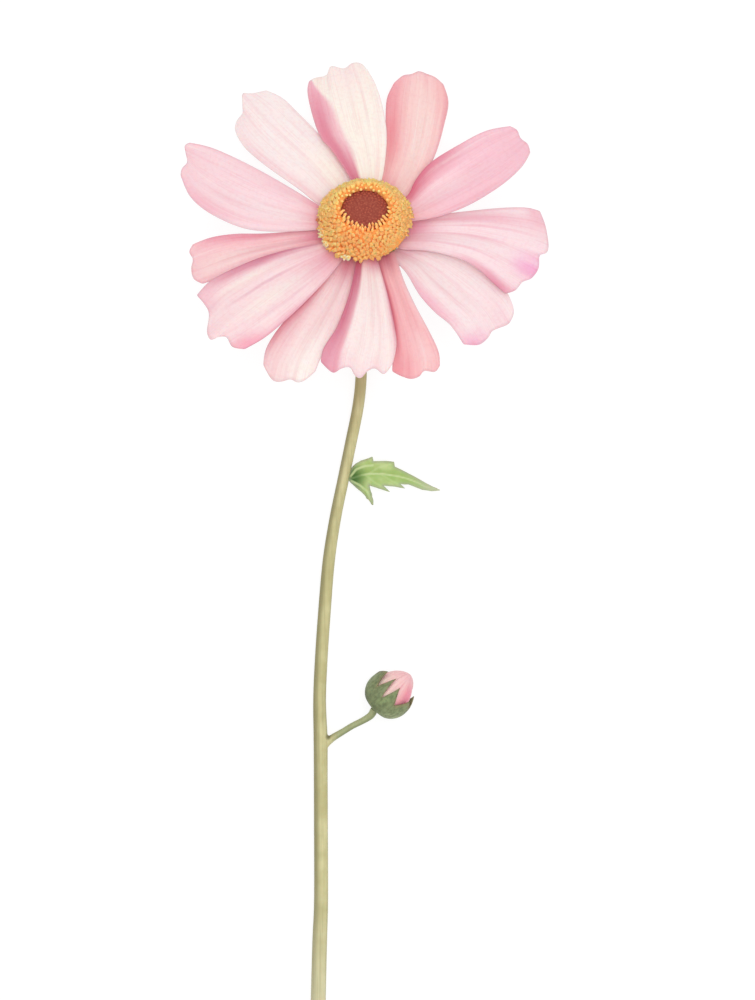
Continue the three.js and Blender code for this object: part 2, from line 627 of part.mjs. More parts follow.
const bud = new THREE.Group();
bud.position.copy(BUD_CENTRE);
const budSide = new THREE.Vector3().crossVectors(new THREE.Vector3(0, 0, 1), BUD_AXIS).normalize();
const budUp = new THREE.Vector3().crossVectors(BUD_AXIS, budSide);
bud.setRotationFromMatrix(new THREE.Matrix4().makeBasis(budSide, budUp, BUD_AXIS));
flower.add(bud);
addMesh(bud, "bud_calyx", budCalyx(), CALYX_GREEN);
addMesh(bud, "bud_petals", budPetals(), BUD_PINK);

export default flower;
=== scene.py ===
import json
import random
from math import acos, atan2, cos, degrees, exp, hypot, pi, radians, sin, sqrt, tan

import bmesh
import bpy
from bmesh import ops
from mathutils import Matrix, Vector

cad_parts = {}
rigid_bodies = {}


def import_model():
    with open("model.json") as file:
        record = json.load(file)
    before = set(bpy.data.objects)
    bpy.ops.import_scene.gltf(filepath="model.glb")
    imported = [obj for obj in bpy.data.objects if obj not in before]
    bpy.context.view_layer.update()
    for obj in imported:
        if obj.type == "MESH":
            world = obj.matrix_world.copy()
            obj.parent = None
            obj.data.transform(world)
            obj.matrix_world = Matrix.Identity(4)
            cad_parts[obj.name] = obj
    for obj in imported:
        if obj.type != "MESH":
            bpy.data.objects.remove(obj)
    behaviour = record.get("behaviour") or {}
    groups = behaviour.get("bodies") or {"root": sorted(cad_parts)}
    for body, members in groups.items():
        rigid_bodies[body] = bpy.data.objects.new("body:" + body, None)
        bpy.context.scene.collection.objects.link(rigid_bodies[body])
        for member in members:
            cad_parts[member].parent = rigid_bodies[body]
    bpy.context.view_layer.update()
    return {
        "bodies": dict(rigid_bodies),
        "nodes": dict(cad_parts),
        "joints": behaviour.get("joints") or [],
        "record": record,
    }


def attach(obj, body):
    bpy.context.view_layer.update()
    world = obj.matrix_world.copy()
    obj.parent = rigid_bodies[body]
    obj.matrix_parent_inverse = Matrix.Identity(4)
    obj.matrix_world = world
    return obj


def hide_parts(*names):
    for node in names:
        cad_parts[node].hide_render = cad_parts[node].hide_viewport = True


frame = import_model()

# A cut daisy-like flower lying on a table: petals, florets, base, stem, leaf and bud.
# Sizes are in millimetres up to the last step, which scales each piece to metres.

MM = 0.001
UP = Vector((0, 0, 1))

# ---- the bloom

BLOOM_PLACE = Vector((0, 67.1, 18.8))  # middle of the disc's base
BLOOM_TILT = radians(29)  # lean of the bloom's face from straight up, towards +Y

PETAL_THICKNESS = 0.34
PETAL_ROOT_RADIUS = 7.5
PETAL_ROOT_WIDTH = 4.2
PETAL_COLUMNS = 36
PETAL_ROWS = 44
TIP_SPREAD = 3  # how fast the lobes of the tip fade towards the root
ROW_GAP = 1.15  # height between the rows of petals at their roots
RIBS = 9  # fine lengthwise ribs across a petal
RIB_DEPTH = 0.018

DISC_FLOOR = 1.1
DISC_FLOOR_RADIUS = 8.2
WELL_RADIUS = 4.75
WELL_FLOOR = 4.8
DISC_SECTION = [(5, 6), (5.55, 6.15), (6.8, 5.1), (8.2, 3.15), (8.9, 1.8)]
DISC_SIDES = 96
FLORET_SECTION = [(3.6, 5.65), (4.9, 6), (5.6, 6.1), (6.8, 5.1), (8.2, 3.15), (8.95, 1.75)]
FLORET_AREA = 0.7  # surface of the disc taken by one floret
FLORET_SIZE = 0.47
FLORET_HEIGHT = 1.3
FLORET_DEPTH = 0.55  # how deep a floret is sunk into the disc
FLORET_LOBES = 5
# How much further the outermost florets reach than the others: turn in degrees, millimetres.
FOOT_REACH = [
    (0, 0), (185, 0), (202, 0.4), (226, 1), (250, 0.7), (272, -0.1), (295, -0.8), (322, -0.95),
    (345, -0.6), (357, 0), (360, 0),
]
FAR_SINK = 0.42  # how much deeper the florets sit on the side away from the stem
BUDDED_RADIUS = 5.5  # florets nearer to the axis than this are still closed and pointed
BUDDED_LEAN = 0.35  # how far these lean in over the brown middle
FLORET_SWAY = 0.16
FLORET_SEED = 7

# How far the closed florets leave the brown middle free: turn in degrees (0 along X, 90 away from
# the stem), distance from the axis.
MIDDLE_EDGE = [
    (0, 4.85), (15, 5.15), (50, 4.85), (90, 4.45), (132, 4.5), (166, 5.15), (187, 4.45), (212, 3.75),
    (240, 3.75), (270, 3.95), (300, 3.75), (328, 3.75), (353, 4.45), (360, 4.85),
]
# Outermost florets that are pale, and those that are dark: first and last turn in degrees.
PALE_TURNS = [(194, 220), (242, 256)]
DARK_TURNS = [(174, 190)]
FOOT_SHARE = 0.9  # the outermost florets, as a place along the disc's section
MIDDLE_RADIUS = 4.72
MIDDLE_TOP = 5.75
MIDDLE_BUMPS = 170
MIDDLE_BUMP_SIZE = 0.26
MIDDLE_BUMP_SINK = 0.14
MIDDLE_SEED = 11
GOLDEN_ANGLE = pi * (3 - sqrt(5))

BASE_LOW = -2 * ROW_GAP - 0.975  # underside of the lowest petals
BASE_SECTION = [
    (0, -3), (1.6, -3), (2.6, -2.6), (4, -1.75), (5.6, -1.1), (7, -0.85), (7.15, -0.45), (6.7, -0.1),
]
BRACT_COUNT = 8
BRACT_START = 2.4
BRACT_REACH = 10.2
BRACT_HALF_WIDTH = 2.7
BRACT_GAP = 0.75  # between the lowest petals and a bract's end
BRACT_DROP = 2.1  # how much lower a bract starts
BRACT_THICKNESS = 0.34

# ---- the bud

BUD_CENTRE = Vector((4.65, -26.8, 5.15))
BUD_AXIS = Vector((0.72, 0.67, 0.2)).normalized()
BUD_HALF_WIDTH = 3.92
BUD_AHEAD = 6.15
BUD_BEHIND = 3.02
BUD_PETAL_FULLNESS = 1.07  # the folded petals against the bud's form
CALYX_SWELL = 1.02  # outside of the calyx at its widest
CALYX_HUG = 0.42  # how far the sepals' ends close in on the petals
CALYX_THICKNESS = 0.42

# The rim of the calyx: turn in degrees (90 faces up) and the share of the bud's length ahead
# that it reaches, at each pointed sepal and each notch between them.
CALYX_RIM = [
    (0, 0.25), (30, 0.52), (52.5, 0.05), (67.5, 0.62), (82.5, -0.08), (97.5, 0.53), (120, 0.04),
    (150, 0.39), (180, 0.06), (210, 0.46), (232.5, 0.05), (262.5, 0.5), (285, 0.05), (315, 0.46),
    (337.5, 0.06), (360, 0.25),
]

# ---- stem, stalk, leaf

# The middle line from the bloom's base to the cut end: x, y, height, thickness.
STEM_STATIONS = [
    (0, 63.9, 13.02, 3), (0, 62.7, 10.8, 2.5), (-0.1, 60.1, 7, 2.3), (-0.25, 55.6, 3.8, 2.2),
    (-0.5, 49.2, 2.1, 2.2), (-0.7, 42, 1.35, 2.2), (-0.84, 35.8, 1.13, 2.2), (-1.37, 31, 1.15, 2.24),
    (-2.84, 23.6, 1.15, 2.24), (-4.33, 16.4, 1.14, 2.22), (-5.84, 9.1, 1.15, 2.24), (-7.18, 0.6, 1.22, 2.38),
    (-8.1, -10, 1.26, 2.46), (-8.78, -20.2, 1.27, 2.48), (-9.08, -27.8, 1.27, 2.48),
    (-8.88, -35.6, 1.4, 2.75), (-8.85, -42.4, 1.38, 2.7), (-8.8, -55.8, 1.38, 2.7), (-8.8, -69, 1.4, 2.74),
    (-9.04, -75.6, 1.47, 2.88), (-9.34, -87.6, 1.5, 2.94), (-9.6, -99.6, 1.5, 2.94),
]
STALK_STATIONS = [
    (-9.1, -38.6, 1.3, 1.9), (-8.2, -36.75, 1.4, 1.85), (-6.55, -35.4, 1.75, 1.38), (-4.25, -34, 2.3, 1.2),
    (-2.55, -32.95, 2.75, 1.2), (-0.95, -32.15, 3.05, 1.22), (0.4, -31.4, 3.45, 1.32),
    (1.25, -30.75, 3.87, 1.42), (1.9, -29.6, 4.35, 1.5),
]
STEM_VOXEL = 0.2
STEM_ALLOWANCE = 0.1  # thickness that the smoothing of the weld takes off
CROTCH = Vector((-7.3, -35.2, 2))  # where stalk and stem part

# The leaf's outline from its foot along the upper margin to the tip and back, then its midrib
# with heights, and the side veins that run to the teeth.
LEAF_OUTLINE = [
    (-3.4, 16.5), (-3, 18), (-2.5, 18.75), (-1.85, 19.45), (-0.8, 20.05), (0.6, 20.5), (1.5, 20.85),
    (1.7, 19.95), (4.2, 20), (5.8, 19.8), (5.95, 18.85), (7.4, 18.15), (9.8, 16.9), (12, 15.65),
    (13.6, 14.75), (15.1, 14.2), (13.2, 14.05), (11.4, 14.3), (10, 14.85), (8.7, 15.35), (7.1, 15.4),
    (8, 14.55), (5.9, 14.9), (3.7, 15.1), (5, 13.8), (2.5, 14.6), (0.85, 15.15), (1.15, 13.9),
    (1.58, 12.3), (1.54, 11.2), (0.75, 12.25), (-0.15, 13.35), (-1.2, 14.25), (-2.35, 15.3), (-3.05, 15.95),
]
LEAF_RIB = [
    (-3.2, 16.4, 1.4), (-1.6, 16.85, 2), (-0.6, 17.2, 2.4), (1, 17.45, 2.75), (3.5, 17.4, 3),
    (6.3, 17, 2.9), (8.2, 16.55, 2.6), (10.4, 15.75, 2.1), (11.8, 15, 1.75), (13.4, 14.45, 1.3),
    (15.1, 14.2, 0.75),
]
LEAF_VEINS = [
    [(-2.8, 16.9), (-1.7, 18.3), (0, 18.95), (1.6, 19.1)],
    [(-2.7, 16.1), (-1, 15.2), (0.5, 14), (1.4, 12)],
    [(0.8, 17.4), (2.6, 18.6), (5.4, 19.5)],
    [(0.2, 17.2), (2, 15.7), (4.5, 14.2)],
    [(3.4, 17.3), (5.4, 16), (7.5, 14.9)],
]
LEAF_THICKNESS = 0.4
LEAF_FOLD = 0.34  # how steeply the blade sinks away from its midrib
LEAF_CELL = 0.25
LEAF_GROUND = 0.45  # least height of the blade's middle
LEAF_MARKS = ("vein", "rib", "edge", "foot", "fork")  # distances that the paint reads

SUBSURFACE_REACH = 0.6  # how far light spreads inside a plant part

# ---- colours, as seen

WHITE = (254, 246, 242)
CORAL = (248, 176, 182)
MAGENTA = (246, 172, 212)
EDGE_LINE = (196, 128, 148)
PALE_EDGE = (228, 206, 208)
# What paint is multiplied by: on most pieces, on the petals and on the florets.
PLANT_TINT = (244, 244, 244)
PETAL_TINT = (239, 242, 239)
DISC_TINT = (255, 255, 255)
STREAK_TINT = (242, 204, 212)
FOLD_TIP_SHADE = (242, 176, 194)
DISC_GAP = (250, 164, 88)
DISC_ORANGE = (255, 178, 106)
DISC_YELLOW = (255, 222, 134)
DISC_HIGHLIGHT = (255, 234, 168)
DISC_PALE = (255, 232, 190)
DISC_DARK = (222, 140, 100)
MIDDLE_BROWN = (184, 88, 70)
MIDDLE_DARK = (150, 68, 56)
MIDDLE_LIGHT = (200, 112, 86)
STEM_LIGHT = (212, 206, 156)
STEM_OLIVE = (188, 181, 128)
STEM_SHADE_AND_FIBRE = (138, 132, 92)
STEM_BROWN = (176, 160, 112)
STEM_PALE = (220, 215, 182)
CROTCH_SHADE = (96, 92, 56)
PITH = (226, 226, 190)
STALK_GREEN = (166, 172, 128)
STALK_SHADE = (104, 116, 76)
LEAF_LIGHT = (188, 208, 138)
LEAF_GREEN = (164, 192, 112)
LEAF_FOOT_SHADE = (66, 108, 44)
LEAF_RIM = (162, 172, 136)
LEAF_PALE = (200, 218, 156)
LEAF_FRESH = (150, 184, 98)
LEAF_TIP = (192, 198, 162)
BASE_GREEN = (126, 152, 88)
BASE_LIGHT = (156, 180, 112)
BASE_BROWN = (178, 150, 110)
CALYX_PAINTED_LIGHT = (160, 170, 126)
CALYX_GREEN = (130, 141, 100)
CALYX_SHADE_AND_GRAIN = (82, 92, 60)
CALYX_BROWN = (150, 128, 92)
BUD_PINK = (244, 200, 198)
BUD_LINE = (226, 150, 166)

# Each petal's outline is seen from straight above, from the middle of the disc's base: left and
# right are its two sides from root to tip, and tip holds the lobes and notches between. row
# counts the rows down from the disc, rise is degrees and the rest of the form is millimetres.
# A wash is a soft spot of colour: across and along the petal (0 to 1), its half width and half
# length, its colour and its strength; some washes along the margins are painted shade and one is
# painted light, as marked. turn bends one side down, and fold is how much of the width shows it in
# the colours given for the fold, painted shade of the turned-down margin: inner, outer and near the root.
PETALS = [dict(
    left=[(-10.4, -1.2), (-17, -1.5), (-24, -0.85), (-30.6, 2), (-34.8, 5.5), (-36.8, 9.9)],
    tip=[(-36.5, 11.3), (-35.5, 12.5), (-35.8, 14.3), (-36, 15.8)],
    right=[(-9, 3.7), (-15, 7.4), (-22, 11.4), (-28.6, 14.6), (-32, 15.8), (-35.1, 16.4)],
    row=0, rise=3, arch=1.4, droop=1.6, cup=0.5, pleat=0.3,
    slot="petal_pink", base=(250, 216, 224),
    washes=[
        (0.42, 0.36, 0.28, 0.38, (252, 228, 233), 0.8), (0.07, 0.8, 0.17, 0.38, (247, 190, 205), 0.8),
        (0, 0.35, 0.12, 0.5, (251, 226, 232), 0.7), (0.5, 1, 0.8, 0.24, (249, 205, 214), 0.5),
        (0.86, 0.3, 0.3, 0.36, (248, 204, 215), 0.7), (0.5, 0, 0.9, 0.24, (243, 172, 190), 0.8),
        (0.95, 0.06, 0.35, 0.2, (238, 162, 183), 0.8),
    ],
), dict(
    left=[(-9.2, 3.9), (-13.3, 7.1), (-19.9, 11.8), (-23.9, 15.3), (-25.8, 18.4), (-25.8, 20.1)],
    tip=[(-25.4, 21.2), (-24.4, 22.5), (-24.5, 24.5), (-24.5, 26.4), (-22.6, 26.4)],
    right=[(-2.8, 9.3), (-6, 14.6), (-9.2, 18.2), (-13.1, 22.2), (-16.4, 25.4), (-19.8, 27)],
    row=1, rise=1, arch=1.2, droop=1.85, cup=-0.6, pleat=0.25,
    slot="petal_pale", base=(252, 236, 237), edge=PALE_EDGE,
    washes=[
        (0.72, 0.25, 0.4, 0.36, (253, 240, 231), 0.8), (0, 0.6, 0.28, 0.6, (249, 214, 222), 0.55),
        (0.3, 1, 0.6, 0.3, (251, 228, 231), 0.7), (0.02, 0.2, 0.3, 0.3, (249, 214, 222), 0.5),
    ],
), dict(
    left=[(-3.2, 9.5), (-6.6, 14.7), (-8.8, 17.3), (-10.3, 21.1), (-11.5, 26.3), (-11.2, 28.8)],
    tip=[(-10, 29.5), (-7.6, 30.1), (-6.8, 31.9), (-4.2, 31.4), (-2.6, 32.5), (-0.8, 32.4)],
    right=[(3.4, 9.1), (4.2, 14.1), (4.3, 19.1), (3.4, 24.3), (2, 28.4), (0.6, 30.7)],
    row=0, rise=6.5, arch=0.9, droop=3.2, cup=0.2, pleat=0.25,
    turn=1.3, turn_side=-1, turn_width=0.3,
    fold=[(0, 0.35), (0.36, 0.42), (0.55, 0.41), (0.7, 0.37), (0.8, 0.3), (0.9, 0.17), (1.01, 0.04)],
    fold_shade=[(249, 208, 216), (231, 145, 166), (216, 122, 149)],
    slot="petal_pale", base=(253, 241, 234), edge=PALE_EDGE,
    washes=[
        (0.6, 1, 0.6, 0.3, (251, 228, 229), 0.8), (1, 0.6, 0.14, 0.5, (252, 234, 236), 0.7),
        (0.7, 0.35, 0.3, 0.3, (254, 246, 238), 0.7),
    ],
), dict(
    left=[(3, 9.1), (3.9, 14.1), (4.1, 18.1), (4.1, 22.1), (4.4, 25.5), (5.8, 28.5)],
    tip=[(7.6, 30), (9.3, 30.3), (10.8, 30.9), (12.5, 30.3), (14, 29.7)],
    right=[(9.2, 6.1), (12.4, 10.6), (14.4, 14.9), (15.8, 19.9), (16.7, 24.5), (15.7, 28.2)],
    row=1, rise=0, arch=1.2, droop=0, cup=0.7, pleat=0.25,
    slot="petal_coral", base=(250, 210, 209),
    washes=[
        # The deep coral washes near across 0.1 and 0.05 are partly the petal's coral and partly painted
        # shade of its left margin, which curls away from the light.
        (0.64, 0.58, 0.24, 0.4, (252, 224, 221), 0.75), (0.1, 0.56, 0.36, 0.66, (242, 156, 166), 1),
        (0.1, 1, 0.4, 0.35, (245, 174, 184), 0.75), (0.9, 0.95, 0.3, 0.32, CORAL, 0.55),
        (0.5, 1, 0.8, 0.12, (248, 196, 202), 0.5), (1, 0.5, 0.12, 0.5, (247, 196, 203), 0.7),
        (0.98, 0.78, 0.1, 0.34, (241, 168, 176), 0.8), (0.05, 0.84, 0.2, 0.3, (241, 158, 169), 0.8),
        (0.2, 0.05, 0.6, 0.24, (240, 150, 165), 0.7),
    ],
), dict(
    left=[(8.6, 5.9), (10.2, 9.1), (13.2, 12.5), (18.6, 15.9), (24, 18.7), (29, 19.7)],
    tip=[(30.4, 18.9), (31.1, 17.3), (32.5, 16.1)],
    right=[(10.2, 0.7), (15, 1.6), (21.1, 4), (27.2, 7.8), (31.2, 11.4), (33, 14.4)],
    row=0, rise=6, arch=1.3, droop=1.5, cup=0.4, pleat=0.3,
    slot="petal_rose", base=(249, 200, 214),
    washes=[
        (0.5, 0.4, 0.24, 0.36, (251, 216, 223), 0.8), (0.9, 0.6, 0.3, 0.5, (246, 194, 206), 0.5),
        # The dark red washes at across 0 are painted shade along the upper margin near the root.
        (0.5, 1, 0.8, 0.3, (246, 194, 208), 0.6), (0, 0.33, 0.4, 0.42, (231, 132, 155), 1),
        (0, 0.16, 0.5, 0.26, (222, 110, 138), 1), (0.86, 0.12, 0.4, 0.24, (249, 196, 203), 0.6),
    ],
), dict(
    left=[(9.6, 1.2), (15, 2), (21, 2.7), (27, 3.3), (32, 3.4), (34.9, 2.7)],
    tip=[
        (36, -0.3), (36.6, -4.1), (36.2, -5.8), (34.8, -6.2), (34.6, -8.8), (33.1, -10.9), (31.4, -11.5),
        (30, -13.2),
    ],
    right=[(7, -4.9), (13, -5.4), (19, -7), (22.6, -9.1), (25.4, -11.7), (27.9, -13.9)],
    row=1, rise=3.5, arch=1.2, droop=1.2, cup=-0.5, pleat=0.35,
    slot="petal_pink", base=(251, 223, 230),
    washes=[
        (0.17, 0.55, 0.13, 0.62, (245, 188, 203), 0.9), (0, 0.65, 0.06, 0.5, (250, 216, 224), 0.7),
        (0.3, 0.6, 0.03, 0.46, (242, 182, 199), 0.6), (0.5, 0.55, 0.035, 0.46, (244, 192, 206), 0.6),
        (0.74, 0.45, 0.04, 0.42, (243, 188, 203), 0.6), (0.5, 0.02, 0.9, 0.42, (236, 160, 184), 0.8),
        # The darker pink washes at across 0.95 and 0.99 are painted shade of the lower margin, which curls
        # down.
        (0.3, 0.06, 0.4, 0.26, (228, 138, 168), 0.8), (0.95, 0.66, 0.12, 0.3, (241, 174, 192), 0.7),
        (0.99, 0.9, 0.13, 0.3, (230, 142, 168), 0.95), (0.08, 0.95, 0.2, 0.12, (244, 188, 202), 0.8),
        (0.62, 0.98, 0.2, 0.2, MAGENTA, 0.9),
    ],
), dict(
    left=[(7.4, -4.4), (13, -4.6), (19, -6.2), (24, -9.2), (28, -13.2), (29.4, -16.3)],
    tip=[(29.6, -17.9), (28.6, -19.9), (26.5, -20.8), (25.3, -21.4), (24.4, -22.8), (22.6, -24.1)],
    right=[(5, -6.6), (8.1, -9.6), (10.8, -14.1), (13.9, -17.6), (17, -20.2), (19.6, -24)],
    row=2, rise=0.2, arch=0.6, droop=0.9, cup=0.3, pleat=0.3,
    slot="petal_pink", base=(251, 229, 233),
    washes=[
        (0.95, 0.55, 0.2, 0.5, (247, 190, 208), 0.9), (0.85, 1, 0.4, 0.16, (245, 180, 208), 0.95),
        (0.3, 0.95, 0.4, 0.3, (250, 216, 224), 0.5), (0.45, 0.5, 0.04, 0.5, (246, 204, 215), 0.6),
        # The near-white wash at across 0 is painted light, lifting the shadow under petal 6's margin.
        (0.5, 0.02, 0.9, 0.3, (234, 160, 182), 0.75), (0, 0.42, 0.26, 0.42, (255, 248, 248), 0.95),
    ],
), dict(
    left=[(6.1, -6), (7.7, -11), (10, -16.1), (12.7, -21.2), (14.6, -25.3), (14.9, -28.2)],
    tip=[(13.9, -29.5), (11.8, -29.3), (10.8, -30.4), (9.1, -30.9), (7.1, -30.3)],
    right=[(2.4, -6.5), (3.1, -10.3), (4.2, -14.5), (5, -19.3), (5.5, -23.9), (5.4, -29.4)],
    row=1, rise=0, arch=1, droop=0.8, cup=0.5, pleat=0.25,
    slot="petal_coral", base=(250, 192, 197),
    washes=[
        (0.3, 0.85, 0.35, 0.3, (251, 206, 208), 0.8), (0.03, 0.36, 0.17, 0.5, (252, 211, 215), 0.9),
        # The two deep washes near across 0.9 are painted shadow of petal 9's edge and painted shade of this
        # curled margin.
        (0.92, 0.5, 0.34, 0.65, (240, 148, 160), 0.95), (0.91, 0.5, 0.14, 0.7, (210, 103, 126), 0.95),
        (0.85, 0.96, 0.5, 0.25, (243, 159, 169), 0.85), (0.6, 0, 0.9, 0.28, (198, 92, 124), 0.9),
    ],
), dict(
    left=[(2.2, -6.3), (3.8, -11.3), (5, -15.9), (5.9, -20.5), (6.3, -24.1), (5.6, -27.7)],
    tip=[
        (3.8, -30), (2, -28.8), (0.4, -29.5), (-0.8, -30.8), (-2, -30.3), (-3, -28.6), (-4.8, -28.9),
        (-6.4, -29.7),
    ],
    right=[(-1.6, -6.3), (-2.2, -9.9), (-3.4, -14.9), (-5.6, -20.5), (-8.2, -24.7), (-8.8, -27.5)],
    row=0, rise=4, arch=1.2, droop=0.8, cup=0.1, pleat=0.3,
    turn=1.3, turn_side=1, turn_width=0.28,
    fold=[(0, 0.36), (0.2, 0.34), (0.41, 0.3), (0.67, 0.26), (0.85, 0.27), (1.01, 0.28)],
    fold_shade=[(246, 190, 202), (218, 120, 146), (197, 95, 123)],
    slot="petal_pale", base=(252, 233, 233),
    washes=[
        (0.4, 0.02, 0.9, 0.26, (240, 172, 194), 0.8), (0.5, 1, 0.8, 0.16, (251, 222, 228), 0.7),
        (0.9, 0.96, 0.28, 0.28, (242, 172, 192), 0.95), (0, 0.5, 0.15, 0.72, (240, 178, 190), 0.9),
        # The mauve wash at across 0.15 near the root is painted shade at the root.
        (0, 0.42, 0.05, 0.6, (214, 128, 148), 0.9), (0.15, 0.06, 0.4, 0.2, (216, 134, 160), 0.9),
    ],
), dict(
    left=[(-1.4, -7.3), (-2.5, -12.8), (-4.1, -17.8), (-6.5, -23), (-8.8, -26.9), (-9.8, -29.4)],
    tip=[(-11.8, -31.1), (-13.4, -31.6), (-14.8, -31), (-17, -31.5), (-18.6, -30.9)],
    right=[(-5.2, -6.2), (-7.7, -10.2), (-12.2, -15.4), (-16.9, -20.4), (-19.6, -24.7), (-20.2, -28.1)],
    row=1, rise=0, arch=1, droop=1, cup=0.3, pleat=0.3,
    slot="petal_pink", base=(249, 217, 220),
    washes=[
        # The deep pink washes at across 0.97 and 0.98 are painted shade along the upper-left margin, next to
        # petal 11.
        (0.25, 0.92, 0.5, 0.46, WHITE, 0.9), (0.98, 0.47, 0.28, 0.56, (233, 138, 156), 1),
        (0.97, 0.5, 0.12, 0.56, (208, 112, 136), 0.9), (0.84, 0.6, 0.22, 0.42, (243, 188, 198), 0.8),
        (0.4, 0.05, 0.8, 0.28, (230, 142, 168), 0.9),
    ],
), dict(
    left=[(-4.2, -6.6), (-7.2, -10.6), (-11.4, -15.1), (-15.8, -19.3), (-19.9, -22.7), (-23.9, -25)],
    tip=[
        (-26.4, -24.5), (-27.5, -22.6), (-29.4, -22.6), (-30.6, -23.2), (-31.4, -21.5), (-31, -17.9),
        (-32.1, -15.8),
    ],
    right=[(-9.4, -3.95), (-15, -5), (-20.6, -6.6), (-26, -8.8), (-30.7, -11.25), (-33.5, -14.2)],
    row=0, rise=4, arch=1.5, droop=1.2, cup=-0.7, pleat=0.35,
    slot="petal_pink", base=(250, 220, 225),
    washes=[
        (0.8, 0.66, 0.13, 0.34, (253, 235, 231), 0.9), (0.4, 0.64, 0.2, 0.36, (253, 234, 231), 0.9),
        # The deep pink washes at across 0.97 and 1 are painted shade of the upper-left margin, which curls
        # down.
        (0.97, 0.5, 0.2, 0.7, (242, 172, 191), 0.95), (1, 0.45, 0.16, 0.7, (206, 118, 143), 0.95),
        (0, 0.6, 0.12, 0.56, (243, 178, 196), 0.85), (0.03, 0.93, 0.24, 0.22, (246, 170, 190), 1),
        (0.62, 0.56, 0.045, 0.5, (233, 182, 196), 0.85), (0.2, 0.5, 0.04, 0.4, (240, 196, 208), 0.7),
        (0.9, 0.97, 0.3, 0.15, (247, 198, 210), 0.7), (0.35, 0.1, 0.8, 0.32, (243, 172, 192), 0.8),
    ],
), dict(
    left=[(-9.4, -4.1), (-15, -5.4), (-20.6, -7), (-25.4, -9), (-29.4, -10.9), (-32.4, -11.9)],
    tip=[(-34.1, -10.9), (-34.6, -8.9), (-34.3, -7), (-35, -5.5)],
    right=[(-9.8, -1.15), (-15, -1.5), (-20.4, -1.85), (-25.8, -1.9), (-30.6, -2.6), (-34.3, -4)],
    row=1, rise=0, arch=1, droop=0.6, cup=0.6, pleat=0.25,
    slot="petal_rose", base=(249, 202, 208),
    washes=[
        # The deep pink washes at across 0.9, 0.97 and 1 are painted shadow under petal 1's edge, along the
        # upper margin.
        (0.35, 0.8, 0.36, 0.36, (252, 220, 220), 0.85), (0.9, 0.6, 0.3, 0.52, (243, 165, 183), 0.95),
        (1, 0.3, 0.12, 0.5, (236, 154, 174), 0.5), (0.97, 0.8, 0.12, 0.2, (238, 158, 176), 0.8),
        (0.5, 1, 0.8, 0.1, (249, 204, 210), 0.6), (0, 0.4, 0.12, 0.5, (246, 184, 196), 0.4),
        (0.5, 0.05, 0.8, 0.28, (234, 138, 167), 0.85),
    ],
)]

# Washes of the folded petals in the bud and of the calyx: across is the turn round the bud's
# axis (0 to 1) and along runs from its stalk end (0) to its top or rim (1).
BUD_PETAL_WASHES = [
    (0.14, 0.6, 0.075, 0.34, (248, 224, 209), 1), (0.235, 0.56, 0.075, 0.34, (247, 220, 206), 1),
    (0.38, 0.6, 0.11, 0.6, (241, 166, 170), 1), (0.42, 0.72, 0.1, 0.38, (236, 138, 160), 0.95),
    # The two thin darker lines at across 0.185 and 0.28 are painted shade where the folded petals overlap.
    (0.3, 0.98, 1.2, 0.14, (241, 194, 196), 0.85), (0.185, 0.78, 0.012, 0.2, (222, 170, 168), 0.8),
    (0.28, 0.76, 0.014, 0.26, (226, 150, 158), 0.85),
]
# On the calyx, the dark washes at the lower left, the bottom and the stalk end are painted shade, and the
# light wash at across 0.43 is painted light.
CALYX_WASHES = [
    (0.43, 0.6, 0.13, 0.42, CALYX_PAINTED_LIGHT, 0.85), (0.02, 0.7, 0.09, 0.4, (162, 176, 134), 0.8),
    (0.1, 0.35, 0.1, 0.3, CALYX_SHADE_AND_GRAIN, 0.8), (0.26, 0.8, 0.06, 0.3, (140, 160, 104), 0.6),
    (0.25, 0.42, 0.1, 0.3, (104, 114, 76), 0.7), (0.5, 0, 3, 0.3, CALYX_SHADE_AND_GRAIN, 0.85),
    (0.5, 1.02, 3, 0.13, CALYX_BROWN, 0.55),
]


# ---- curves

def curve_point(points, place, spaced):
    """A smooth curve through its points: place counts them. spaced allows for uneven gaps."""
    index = min(int(place), len(points) - 2)
    share = place - index
    start, end = points[index], points[index + 1]
    before = points[index - 1] if index else (2 * start - end if spaced else start)
    last = index + 2 == len(points)
    after = (2 * end - start if spaced else end) if last else points[index + 2]
    if spaced:
        gaps = [sqrt((b - a).length) for a, b in ((before, start), (start, end), (end, after))]
        ahead = (end - start) / gaps[1]
        slope_a = (start - before) / gaps[0] - (end - before) / (gaps[0] + gaps[1]) + ahead
        slope_b = ahead - (after - start) / (gaps[1] + gaps[2]) + (after - end) / gaps[2]
        slope_a *= gaps[1]
        slope_b *= gaps[1]
    else:
        slope_a = (end - before) / 2
        slope_b = (after - start) / 2
    bend = 2 * start - 2 * end + slope_a + slope_b
    lean = -3 * start + 3 * end - 2 * slope_a - slope_b
    return start + slope_a * share + lean * share ** 2 + bend * share ** 3


def walk(points, steps, fine=24):
    """Points at even distances along the smooth curve through some points."""
    points = [Vector(p) for p in points]
    dense = [curve_point(points, k / fine, False) for k in range((len(points) - 1) * fine + 1)]
    walked = [0]
    for a, b in zip(dense, dense[1:]):
        walked.append(walked[-1] + (b - a).length)
    found = []
    index = 0
    for k in range(steps + 1):
        target = walked[-1] * k / steps
        while index < len(dense) - 2 and walked[index + 1] < target:
            index += 1
        share = (target - walked[index]) / (walked[index + 1] - walked[index])
        found.append(dense[index].lerp(dense[index + 1], share))
    return found


def smooth_step(low, high, value):
    share = min(1, max(0, (value - low) / (high - low)))
    return share * share * (3 - 2 * share)


def value_at(points, place):
    """The value at a place, straight between (place, value) points."""
    for (start, low), (end, high) in zip(points, points[1:]):
        if place <= end:
            return low + (high - low) * (place - start) / (end - start)
    return points[-1][1]


